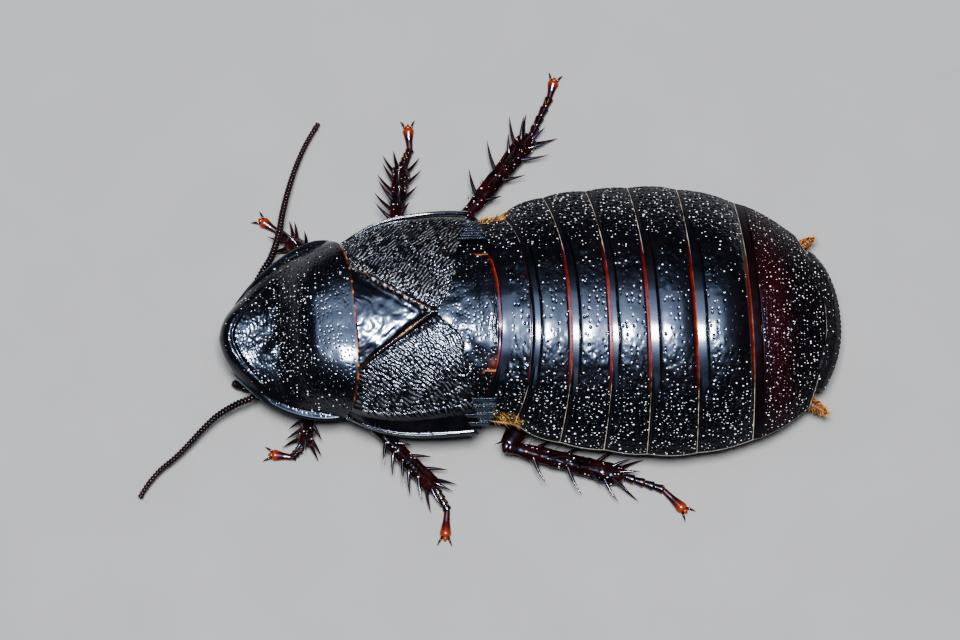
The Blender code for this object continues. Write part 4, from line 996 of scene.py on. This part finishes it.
legs = dict(
    foreleg_right=((5.4, 0.7, 1.8), (6.6, 1.3, 1.25), (5.5, 3.95, 2.25), (3.7, 5.25, 0.8), (3.07, 5.9, 0.3),
                   (2.1, 6.57, 0.28)),
    foreleg_left=((5.4, -1.9, 1.8), (6.5, -2.4, 1.25), (5.2, -4.6, 2.25), (4.7, -6.6, 0.8), (4.03, -7.25, 0.3),
                  (2.85, -7.1, 0.28)),
    midleg_right=((9.4, 0.8, 1.8), (11.4, 1.9, 1.25), (9.8, 5.4, 2.4), (10.15, 9.6, 0.8), (10.63, 10.75, 0.3),
                  (10.52, 12.1, 0.28)),
    midleg_left=((9.4, -1.8, 1.8), (11.2, -2.8, 1.25), (8.9, -6.0, 2.4), (12.2, -9.15, 0.8), (12.83, -10.25, 0.3),
                 (12.72, -11.85, 0.28)),
    hindleg_right=((13.7, 1.0, 1.8), (16.9, 2.6, 1.25), (13.8, 6.3, 2.3), (17.65, 11.5, 0.8), (18.7, 13.85, 0.3),
                   (18.98, 14.93, 0.28)),
    hindleg_left=((15.0, -1.6, 1.8), (18.6, -3.2, 1.25), (16.2, -6.95, 2.3), (22.9, -8.45, 0.8),
                  (25.07, -9.1, 0.3), (26.3, -10.3, 0.28)),
)
legWidths = dict(foreleg=(0.75, 0.62, 0.45), midleg=(0.85, 0.68, 0.48), hindleg=(0.95, 0.75, 0.55))
# shin spines: share of the shin, side (-1 fore, 1 rear), upward turn, slant from the shin, length
shinSpines = dict(
    foreleg=((0.35, -1, 20, 50, 1.0), (0.45, 1, 20, 50, 0.9), (0.62, -1, 20, 48, 1.1), (0.7, 1, 80, 45, 1.0),
             (0.82, 1, 15, 48, 1.1), (0.9, -1, 10, 50, 1.2), (0.96, 1, 10, 40, 1.2), (0.97, -1, 55, 35, 1.1)),
    midleg=((0.14, -1, 20, 55, 1.2), (0.30, -1, 10, 50, 1.35), (0.46, -1, 25, 48, 1.3), (0.60, -1, 10, 46, 1.45),
            (0.76, -1, 25, 42, 1.35), (0.92, -1, 5, 36, 1.5), (0.98, -1, 45, 26, 1.2), (0.24, 1, 30, 42, 0.8),
            (0.50, 1, 15, 45, 1.1), (0.74, 1, 15, 44, 1.35), (0.94, 1, 10, 34, 1.35), (0.98, 1, 45, 26, 1.1),
            (0.38, 1, 85, 46, 1.0), (0.68, -1, 85, 44, 1.1)),
    hindleg=((0.19, -1, 12, 54, 1.6), (0.52, -1, 12, 54, 1.75), (0.74, -1, 30, 46, 1.2), (0.86, -1, 12, 50, 1.75),
             (0.93, -1, 35, 38, 1.4), (0.98, -1, -8, 30, 1.7), (0.20, 1, 12, 42, 1.0), (0.47, 1, 12, 42, 1.4),
             (0.76, 1, 12, 46, 1.75), (0.90, 1, 25, 40, 1.3), (0.98, 1, -8, 36, 1.6), (0.99, 1, 55, 24, 1.2),
             (0.33, 1, 85, 46, 1.1), (0.62, -1, 85, 46, 1.2), (0.85, 1, 85, 42, 1.2)),
)
foot = dict(segments=4, width=0.27, depth=0.24, lastStart=0.15, lastEnd=0.33, claw=0.62, clawRadius=0.075)


def legAxes(start, end):
    heading = (end - start) / np.linalg.norm(end - start)
    across = np.cross(heading, (0.0, 0.0, 1.0))
    across = across / np.linalg.norm(across)
    if across[0] > 0.0:
        across = -across
    upright = np.cross(across, heading)
    return heading, across, upright if upright[2] > 0.0 else -upright


def scaled(size, *stops):
    return profile(*((share, size * value) for share, value in stops))


def makeLeg(name, joints, seed):
    draw = random.Random(seed)
    hip, trochanter, knee, ankle, toe, tip = [np.array(joint) for joint in joints]
    pair, side = name.split("_")
    title = pair + side.capitalize()
    coxaWidth, femurWidth, tibiaWidth = legWidths[pair]

    path = smoothPath((hip + (0.0, 0.0, 0.25), hip * 0.5 + trochanter * 0.5 + (0.0, 0.0, 0.05), trochanter))
    shape = ((0.0, 0.5), (0.12, 0.9), (0.4, 1.0), (0.75, 0.82), (0.93, 0.55), (1.0, 0.2))
    coxa = limb(f"{title}Coxa", path, scaled(coxaWidth, *shape), scaled(0.5, *shape), 24, 26)
    rim = limb("coxaRim", path + (0.0, 0.0, -0.06), scaled(coxaWidth * 0.5, *shape), scaled(0.5, *shape), 16, 20)
    coxa = joinAs(f"{title}Coxa", [coxa, rim])
    finishPiece(coxa, finishes["underside"], "leg", f"{name}_coxa")

    # the trochanter is a short collar joined to the femur, which is a flat spindle grooved below
    heading, across, upright = legAxes(trochanter, knee)
    collar = limb("trochanter", smoothPath((trochanter - heading * 0.25, trochanter + heading * 0.55)),
                  scaled(femurWidth * 0.72, (0.0, 0.4), (0.2, 0.85), (0.7, 1.0), (1.0, 0.5)),
                  scaled(0.36, (0.0, 0.4), (0.2, 0.85), (0.7, 1.0), (1.0, 0.5)), 16, 10)
    shape = ((0.0, 0.45), (0.08, 0.65), (0.3, 0.95), (0.5, 1.0), (0.8, 0.78), (0.92, 0.66), (0.97, 0.6), (1.0, 0.3))
    widthOf = scaled(femurWidth, *shape)
    deep = scaled(0.5, *shape)

    def femurDepth(share, turn):
        below = bell((np.sin(turn) + 1.0), 0.25)
        return deep(share, turn) * (1.0 - 0.22 * below)

    femur = limb(f"{title}Femur", smoothPath((trochanter + heading * 0.15, knee + heading * 0.05)), widthOf,
                 femurDepth, 26, 34)
    bristles = []
    for k in range(7):
        share = 0.3 + 0.6 * k / 6.0
        below = trochanter + (knee - trochanter) * share - upright * 0.38
        for row in (-1.0, 1.0):
            root = below + across * row * femurWidth * 0.45
            end = root + (heading * 0.35 - upright * 0.75 + across * row * 0.35) * draw.uniform(0.3, 0.42)
            bristles.append(stamp("spine" if k % 3 == 0 else "hair", root, end, 0.05 if k % 3 == 0 else 0.02))
    for row in (-1.0, 1.0):
        root = knee - heading * 0.12 + across * row * femurWidth * 0.42
        bristles.append(stamp("spine", root, root + heading * 0.5 + across * row * 0.3 + upright * 0.05, 0.07))
    femur = joinAs(f"{title}Femur", [femur, collar] + bristles)
    finishPiece(femur, finishes["leg"], "leg", f"{name}_femur")

    heading, across, upright = legAxes(knee, ankle)
    length = np.linalg.norm(ankle - knee)
    shape = ((0.0, 0.4), (0.03, 0.78), (0.1, 0.66), (0.3, 0.86), (0.65, 0.98), (0.9, 1.12), (0.97, 1.02), (1.0, 0.45))
    wide, deep = scaled(tibiaWidth, *shape), scaled(0.34, *shape)

    def ridged(size):
        # long low ridges between rows of punctures
        def sizeAt(share, turn):
            rough = 0.06 * hills(share * length, turn * tibiaWidth * 0.6, 0.30, 500 + seed)
            rough = rough - 0.10 * pits(share * length, (turn + 4.0) * tibiaWidth * 0.7, 0.26, 0.09, 520 + seed, 0.8)
            return size(share, turn) * (1.0 + (0.06 * np.cos(5.0 * turn) + rough) * smoothStep(0.06, 0.2, share))
        return sizeAt

    shin = limb(f"{title}Tibia", smoothPath((knee - heading * 0.05, ankle)), ridged(wide), ridged(deep), 44, 110)
    # painted glints: pale specks over the shin
    paint(shin, "paintedGlint", np.full(len(shin.data.vertices), 0.3))
    kneecap = limb("kneeBall", smoothPath((knee - heading * 0.30, knee + heading * 0.26)),
                   scaled(tibiaWidth * 0.85, (0.0, 0.1), (0.2, 0.8), (0.5, 1.0), (0.8, 0.8), (1.0, 0.1)),
                   scaled(0.30, (0.0, 0.1), (0.2, 0.8), (0.5, 1.0), (0.8, 0.8), (1.0, 0.1)), 16, 10)
    spikes = []
    for share, row, rise, slant, size in shinSpines[pair]:
        outward = -row * across * math.cos(math.radians(rise)) + upright * math.sin(math.radians(rise))
        direction = heading * math.cos(math.radians(slant)) + outward * math.sin(math.radians(slant))
        root = knee + heading * length * (0.06 + 0.88 * share) + outward * 0.2
        reach = size * draw.uniform(0.94, 1.06) + 0.15
        spikes.append(stamp("spine", root, root + direction * reach, 0.135, lean=heading, lowest=0.1))
        socket = limb("socket", smoothPath((root - direction * 0.05, root + direction * 0.16)),
                      profile((0.0, 0.17), (0.7, 0.165), (1.0, 0.12)), profile((0.0, 0.17), (0.7, 0.165), (1.0, 0.12)), 10, 3)
        spikes.append(socket)
    for k in range(34):
        turn = draw.uniform(0.0, 2.0 * math.pi)
        share = draw.uniform(0.12, 0.98)
        outward = across * math.cos(turn) + upright * math.sin(turn)
        root = knee + heading * length * share + across * math.cos(turn) * tibiaWidth * 0.9 + upright * math.sin(turn) * 0.3
        spikes.append(stamp("hair", root, root + (heading * 0.75 + outward * 0.6) * draw.uniform(0.22, 0.42), 0.018,
                            lean=heading, lowest=0.1))
    shin = joinAs(f"{title}Tibia", [shin, kneecap] + spikes)
    finishPiece(shin, finishes["leg"], "leg", f"{name}_tibia")

    # the tarsus: four short segments with pads below, a long one that widens to its end, a pad and two claws
    segments = []
    forward, aside, up = legAxes(ankle, toe)
    f = foot
    first = ankle - forward * 0.05
    for k in range(f["segments"]):
        a = first + (toe - first) * k / f["segments"]
        b = first + (toe - first) * (k + 1.12) / f["segments"]
        shape = ((0.0, 0.35), (0.12, 0.72), (0.55, 0.86), (0.85, 1.0), (0.96, 0.85), (1.0, 0.4))
        segments.append(limb("segment", smoothPath((a, b)), scaled(f["width"], *shape), scaled(f["depth"], *shape), 16, 14,
                             0.0))
        pad = b - forward * 0.10 - up * f["depth"] * 0.75
        segments.append(limb("pad", smoothPath((pad - forward * 0.14, pad + forward * 0.12)),
                             scaled(0.17, (0.0, 0.2), (0.3, 0.9), (0.7, 1.0), (1.0, 0.2)),
                             scaled(0.10, (0.0, 0.2), (0.3, 0.9), (0.7, 1.0), (1.0, 0.2)), 10, 6, 0.0))
    dark = joinAs(f"{title}Tarsus", segments)
    paint(dark, "amber", np.zeros(len(dark.data.vertices)))
    dark.data.materials.append(finishes["leg"])
    forward, aside, up = legAxes(toe, tip)
    shape = ((0.0, 0.4), (0.06, 0.5), (0.45, 0.62), (0.85, 1.0), (0.95, 0.9), (1.0, 0.45))
    path = smoothPath((toe - forward * 0.05, tip))
    last = limb("lastSegment", path, scaled(f["lastEnd"], *shape), scaled(0.26, *shape), 20, 26, 0.0,
                amberOf=lambda share: 0.9 * smoothStep(0.35, 0.95, share))
    last.data.materials.append(finishes["foot"])
    pad = limb("footPad", smoothPath((tip - forward * 0.12, tip + forward * 0.22)),
               scaled(0.16, (0.0, 0.5), (0.5, 1.0), (1.0, 0.3)), scaled(0.11, (0.0, 0.5), (0.5, 1.0), (1.0, 0.3)), 14, 8, 0.0)
    paint(pad, "amber", np.full(len(pad.data.vertices), 0.9))
    pad.data.materials.append(finishes["foot"])
    claws = []
    for row in (-1.0, 1.0):
        root = tip - forward * 0.14 + aside * row * 0.12 + (0.0, 0.0, 0.02)
        mid = tip + forward * 0.24 + aside * row * 0.30 + (0.0, 0.0, 0.10)
        end = tip + forward * 0.50 + aside * row * 0.44
        end[2] = 0.04
        shape = ((0.0, 0.8), (0.2, 1.0), (0.6, 0.6), (0.92, 0.2), (1.0, 0.05))
        claw = limb("claw", smoothPath((root, mid, end)), scaled(f["clawRadius"], *shape),
                    scaled(f["clawRadius"] * 1.2, *shape), 12, 18, 0.0)
        claw.data.materials.append(finishes["claw"])
        claws.append(claw)
    for k in range(12):
        turn = draw.uniform(0.0, 2.0 * math.pi)
        share = draw.uniform(0.05, 0.95)
        outward = aside * math.cos(turn) + up * math.sin(turn)
        root = first + (toe - first) * share + outward * 0.2
        hair = stamp("hair", root, root + (forward * 0.7 + outward * 0.7) * draw.uniform(0.16, 0.28), 0.015, lean=forward)
        hair.data.materials.clear()
        hair.data.materials.append(finishes["hair"])
        claws.append(hair)
    whole = joinAs(f"{title}Tarsus", [dark, last, pad] + claws)
    finishPiece(whole, None, "orange_tip", f"{name}_tarsus")


for seed, (name, joints) in enumerate(legs.items()):
    makeLeg(name, joints, seed)
print("legs made")


head = dict(
    side=-1.0, levels=((3.75, 2.75, 0.62, 1.2), (3.6, 2.75, 0.98, 1.75), (3.1, 2.8, 1.15, 2.12), (2.5, 2.9, 1.12, 2.1),
                       (1.95, 3.05, 0.98, 1.78), (1.45, 3.2, 0.78, 1.38), (1.0, 3.35, 0.56, 1.0), (0.8, 3.4, 0.35, 0.7)),
    eye=(2.5, 1.95, 2.95), eyeSize=(0.46, 0.42, 0.62),
)
feelers = dict(
    left=((1.72, -1.75, 2.5), (1.5, -2.1, 2.6), (1.55, -2.9, 2.75), (1.95, -3.65, 2.85), (1.85, -4.25, 2.78), (0.95, -4.62, 2.6),
          (-0.14, -5.2, 2.2), (-1.0, -5.95, 1.9), (-1.75, -6.7, 1.6), (-2.55, -7.45, 1.3), (-3.45, -8.15, 1.0),
          (-4.15, -8.95, 0.8), (-4.6, -9.65, 0.65)),
    right=((1.72, -0.25, 2.5), (1.5, 0.1, 2.6), (1.55, 0.9, 2.75), (1.85, 2.0, 2.9), (2.4, 3.1, 2.88), (2.85, 3.95, 2.75),
           (3.22, 5.4, 2.3), (3.38, 6.6, 1.9), (3.68, 8.1, 1.45), (4.1, 9.6, 1.1), (4.65, 11.0, 0.85),
           (5.35, 12.3, 0.65)),
    bead=0.205, rootRadius=0.225, tipRadius=0.15,
)


def makeHead():
    h = head
    skull, share, turn, reach = ringedTube("headCapsule", 72, 90)
    heights, stations, depths, widths = np.array(h["levels"]).T
    z = heights[0] + (heights[-1] - heights[0]) * share
    order = slice(None, None, -1)
    station, depth, width = [np.interp(z, heights[order], sizes[order]) for sizes in (stations, depths, widths)]
    capped = np.sqrt(np.clip(1.0 - (1.0 - np.clip(share / 0.06, 0.0, 1.0)) ** 2, 0.0, 1.0))
    capped = np.minimum(capped, np.sqrt(np.clip(1.0 - (1.0 - np.clip((1.0 - share) / 0.08, 0.0, 1.0)) ** 2, 0.0, 1.0)))
    cosine, sine = np.cos(turn), np.sin(turn)
    face = smoothStep(0.2, 0.9, -cosine)
    # the face: a flat brow, a groove over the clypeus, cheeks set off by a seam, punctures between the eyes
    seam = bell(z - 1.62 - 0.25 * sine ** 2, 0.05) * face
    socket = sum(bell(np.hypot((sine * width - s) / 0.28, (z - 2.5) / 0.28), 1.0) for s in (-0.78, 0.78)) * face
    hollow = 0.035 * pits(sine * width + 9.0, z + 3.0, 0.26, 0.08, 61) * face * smoothStep(1.7, 1.9, z)
    sunk = 1.0 - (0.05 * seam + 0.12 * socket + hollow * 0.8)
    x = station + cosine * depth * capped * reach * sunk
    y = h["side"] + sine * width * capped * reach * sunk
    putPoints(skull, x, y, z)
    paint(skull, "amber", 0.5 * smoothStep(1.75, 1.2, z) * face)
    bits = [skull]
    # ocellar spots, labrum, jaws and the short lip palps
    for s in (-1.0, 1.0):
        spot = limb("eyeSpot", smoothPath(((1.80, h["side"] + s * 0.62, 2.95), (1.72, h["side"] + s * 0.62, 2.95))),
                    profile((0.0, 0.13), (1.0, 0.05)), profile((0.0, 0.13), (1.0, 0.05)), 14, 4)
        paint(spot, "amber", np.full(len(spot.data.vertices), 1.0))
        bits.append(spot)
        jaw = limb("jaw", smoothPath(((3.15, h["side"] + s * 0.95, 1.35), (2.85, h["side"] + s * 0.75, 1.0),
                                      (2.75, h["side"] + s * 0.2, 0.82))),
                   profile((0.0, 0.32), (0.5, 0.30), (0.85, 0.16), (1.0, 0.05)),
                   profile((0.0, 0.30), (0.5, 0.22), (0.85, 0.14), (1.0, 0.05)), 16, 18)
        bits.append(jaw)
        lip = smoothPath(((3.7, h["side"] + s * 0.3, 0.95), (3.75, h["side"] + s * 0.75, 0.72),
                          (3.45, h["side"] + s * 1.05, 0.55), (2.95, h["side"] + s * 1.05, 0.5)))
        bits.append(limb("lipPalp", lip, lambda share, turn: 0.13 - 0.035 * np.abs(np.cos(share * 3.0 * math.pi)),
                         lambda share, turn: 0.13 - 0.035 * np.abs(np.cos(share * 3.0 * math.pi)), 12, 30))
    labrum = limb("labrum", smoothPath(((2.52, h["side"], 1.5), (2.55, h["side"], 1.15), (2.72, h["side"], 0.85))),
                  profile((0.0, 0.75), (0.4, 0.72), (0.8, 0.55), (1.0, 0.2)),
                  profile((0.0, 0.10), (0.5, 0.12), (1.0, 0.05)), 24, 16)
    paint(labrum, "amber", np.full(len(labrum.data.vertices), 0.45))
    bits.append(labrum)
    whole = joinAs("headCapsule", bits)
    finishPiece(whole, finishes["blackShell"], "shell_black", "head")


def makeEye(side, name):
    station, away, height = head["eye"]
    eye, share, turn, reach = ringedTube(f"eye{name.capitalize()}", 36, 28)
    sizeX, sizeY, sizeZ = head["eyeSize"]
    polar = math.pi * share
    x, y, z = np.cos(turn) * np.sin(polar) * reach, np.sin(turn) * np.sin(polar) * reach, np.cos(polar)
    kidney = 0.18 * bell(z, 0.5) * smoothStep(0.2, 1.0, -x)     # the notch in front, beside the feeler's socket
    putPoints(eye, station + (x + kidney) * sizeX, head["side"] + side * away + y * sizeY, height + z * sizeZ)
    finishPiece(eye, finishes["eye"], "eye", f"eye_{name}")


def makeFeeler(name):
    # a stout scape, a short pedicel, then a whip of bead-like segments that lengthen towards the tip
    f = feelers
    path = smoothPath(f[name], 24)
    length = pathLength(path)
    beads = round(length / f["bead"])

    def radius(share, turn):
        s = share * length
        base = f["rootRadius"] + (f["tipRadius"] - f["rootRadius"]) * share ** 1.3
        base = base + 0.10 * smoothStep(0.85, 0.75, s) * smoothStep(0.0, 0.2, s) + 0.03 * bell(s - 1.05, 0.15)
        bead = 0.56 + 0.44 * np.clip(1.3 * np.abs(np.sin(share * beads * math.pi)), 0.0, 1.0) ** 0.8
        return base * np.where(s < 1.3, 1.0 - 0.25 * bell(s - 0.85, 0.05) - 0.2 * bell(s - 1.25, 0.04), bead) * np.where(
            share > 0.999, 0.3, 1.0)

    def amber(share):
        # the beads stay dark, the gaps between them pale to brown towards the tip
        return (0.08 + 0.5 * share) * smoothStep(0.9, 0.35, np.abs(np.sin(share * beads * math.pi)))

    whip = limb(f"feeler{name.capitalize()}", path, radius, radius, 14, beads, ringsEach=8, amberOf=amber)
    draw = random.Random(len(name))
    hairs = [whip]
    for k in range(3 * beads):
        share = draw.uniform(0.12, 0.99)
        spot = path[int(share * (len(path) - 1))]
        ahead = path[min(int(share * (len(path) - 1)) + 2, len(path) - 1)] - spot + 1e-6
        ahead = ahead / np.linalg.norm(ahead)
        turn = draw.uniform(0.0, 2.0 * math.pi)
        aside = np.cross(ahead, (0.0, 0.0, 1.0))
        outward = aside * math.cos(turn) + np.cross(aside, ahead) * math.sin(turn)
        root = spot + outward * 0.12
        hairs.append(stamp("hair", root, root + (ahead * 0.6 + outward * 0.8) * 0.14, 0.009, lean=ahead))
    whole = joinAs(f"feeler{name.capitalize()}", hairs)
    finishPiece(whole, finishes["feeler"], "feeler", f"antenna_{name}")


def makePalp(side, name):
    # the jaw palp: five segments, the last one swollen and cut slantwise
    points = ((3.0, side * 1.55, 1.2), (2.6, side * 2.1, 0.75), (1.9, side * 2.35, 0.55), (1.1, side * 2.3, 0.62),
              (0.6, side * 2.0, 0.9))
    path = smoothPath([(x, head["side"] + y, z) for x, y, z in points], 16)

    def radius(share, turn):
        knot = np.abs(np.sin(share * 5.0 * math.pi)) ** 0.4
        return (0.13 + 0.09 * share) * (0.62 + 0.38 * knot) * np.where(share > 0.995, 0.5, 1.0)

    palp = limb(f"palp{name.capitalize()}", path, radius, radius, 16, 70,
                amberOf=lambda share: 0.05 + 0.2 * np.abs(np.sin(share * 5.0 * math.pi)))
    finishPiece(palp, finishes["feeler"], "feeler", f"palp_{name}")


makeHead()
for side, name in ((1.0, "right"), (-1.0, "left")):
    makeEye(side, name)
    makePalp(side, name)
    makeFeeler(name)
print("head, eyes, feelers and palps made")


cerci = dict(root=(32.9, 4.35, 2.2), reach=(1.15, 0.75, 0.1), rings=8, hairs=170)


def makeCercus(side, name):
    # a short ringed cone with golden bristles all round
    c = cerci
    x, y = onBody(c["root"][0], side * c["root"][1])
    root = np.array((x, y, c["root"][2] + 0.05))
    reach = np.array((c["reach"][0], side * c["reach"][1], c["reach"][2]))
    path = smoothPath((root, root + reach * 0.5, root + reach))

    def size(scale):
        cone = scaled(scale, (0.0, 0.25), (0.12, 0.36), (0.5, 0.36), (0.85, 0.2), (1.0, 0.05))
        return lambda share, turn: cone(share, turn) * (1.0 - 0.10 * np.abs(np.cos(share * c["rings"] * math.pi)) ** 3)

    cone = limb("cone", path, size(1.0), size(0.75), 24, 64)
    draw = random.Random(7 if side > 0 else 8)
    hairs = []
    for k in range(c["hairs"]):
        turn, share = draw.uniform(0.0, 2.0 * math.pi), draw.uniform(0.15, 1.0)
        heading, aside, up = legAxes(root, root + reach)
        outward = aside * math.cos(turn) + up * math.sin(turn)
        start = root + reach * share + outward * 0.3 * (1.05 - share)
        hairs.append(stamp("hair", start, start + (outward * 0.7 + heading * 0.6) * draw.uniform(0.2, 0.5), 0.014))
    for hair in hairs:
        hair.data.materials.append(finishes["hair"])
    cone.data.materials.append(finishes["cercus"])
    whole = joinAs(f"cercus{name.capitalize()}", [cone] + hairs)
    finishPiece(whole, None, "orange_tip", f"cercus_{name}")


def makeFringe(side, name):
    # golden bristles behind the wing stub, along the fore corner of the first abdomen plate
    draw = random.Random(21 if side > 0 else 22)
    hairs = []
    for k in range(110):
        share = draw.random()
        station = 15.0 + 1.5 * share
        offset = side * (along(halfWidths, station) - draw.uniform(-0.05, 0.5))
        t = offset / along(halfWidths, station)
        x, y = onBody(station, offset)
        z = backHeight(station, np.clip(t, -0.98, 0.98)) - 0.05
        root = np.array((x, y, z))
        lean = np.array((draw.uniform(0.2, 0.9), side * draw.uniform(0.1, 0.8), draw.uniform(0.1, 0.6)))
        tip = root + lean / np.linalg.norm(lean) * draw.uniform(0.25, 0.6)
        hairs.append(stamp("hair", root, tip, 0.010, lean=(0.0, 0.0, 0.6)))
    whole = joinAs(f"fringe{name.capitalize()}", hairs)
    finishPiece(whole, finishes["hair"], "orange_tip")


for side, name in ((1.0, "right"), (-1.0, "left")):
    makeCercus(side, name)
    makeFringe(side, name)
for master in masters.values():
    bpy.data.objects.remove(master)
print("cerci and bristles made")


studio = dict(target=(-0.46, -1.6, 4.0), distance=220.0, elevation=78.0, frameWidth=54.1, sensor=36.0,
              floorSize=1600.0, floorColour="#7c7a76", worldColour="#e6e8ec", worldStrength=0.05)


def makeStudio():
    s = studio
    deselectAll()
    bpy.ops.mesh.primitive_plane_add(size=s["floorSize"] * mm)
    floor = bpy.context.object
    floor.name = "paleFloor"
    finish, tree, place = newFinish("paleBoard")      # matt painted board, faintly uneven
    tooth = addNode(tree, "ShaderNodeTexNoise", {"Scale": 1 / (6.0 * mm), "Detail": 4.0}, {"Vector": place})
    tone = addRamp(tree, tooth.outputs["Fac"], (0.3, "#787672"), (0.7, s["floorColour"]))
    shader = addNode(tree, "ShaderNodeBsdfPrincipled", {"Roughness": 0.85, "IOR": 1.4}, {"Base Color": tone})
    addNode(tree, "ShaderNodeOutputMaterial", links={"Surface": shader.outputs[0]})
    floor.data.materials.append(finish)

    world = bpy.context.scene.world or bpy.data.worlds.new("studioAir")
    bpy.context.scene.world = world
    world.use_nodes = True
    world.node_tree.nodes["Background"].inputs["Color"].default_value = linear(s["worldColour"])
    world.node_tree.nodes["Background"].inputs["Strength"].default_value = s["worldStrength"]

    target = Vector(s["target"]) * mm
    # each lamp, an area light: name, direction from the target (degrees round, degrees up), distance, size, power,
    # colour
    for name, azimuth, elevation, distance, size, power, colour in (
            ("softboxOverhead", 180.0, 88.0, 300.0, (230.0, 200.0), 0.42, "#c8dcfc"),
            ("keyFlash", 0.0, 85.0, 285.0, (54.0, 50.0), 2.5, "#f4f7ff")):
        lamp = bpy.data.lights.new(name, "AREA")
        lamp.shape = "RECTANGLE"
        lamp.size, lamp.size_y = size[0] * mm, size[1] * mm
        lamp.energy = power
        lamp.color = linear(colour)[:3]
        holder = bpy.data.objects.new(name, lamp)
        bpy.context.collection.objects.link(holder)
        a, e = math.radians(azimuth), math.radians(elevation)
        back = Vector((math.sin(a) * math.cos(e), -math.cos(a) * math.cos(e), math.sin(e)))
        holder.location = target + back * distance * mm
        holder.rotation_euler = (-back).to_track_quat("-Z", "Y").to_euler()

    bpy.context.scene.view_settings.look = "AgX - Medium High Contrast"
    camera = bpy.data.objects.new("camera", bpy.data.cameras.new("camera"))
    bpy.context.collection.objects.link(camera)
    e = math.radians(s["elevation"])
    back = Vector((0.0, -math.cos(e), math.sin(e)))
    camera.location = target + back * s["distance"] * mm
    camera.rotation_euler = (-back).to_track_quat("-Z", "Y").to_euler()
    camera.data.sensor_width = s["sensor"]
    camera.data.lens = s["sensor"] * s["distance"] / s["frameWidth"]
    camera.data.clip_start = 0.01
    bpy.context.scene.camera = camera


makeStudio()
print("studio made")
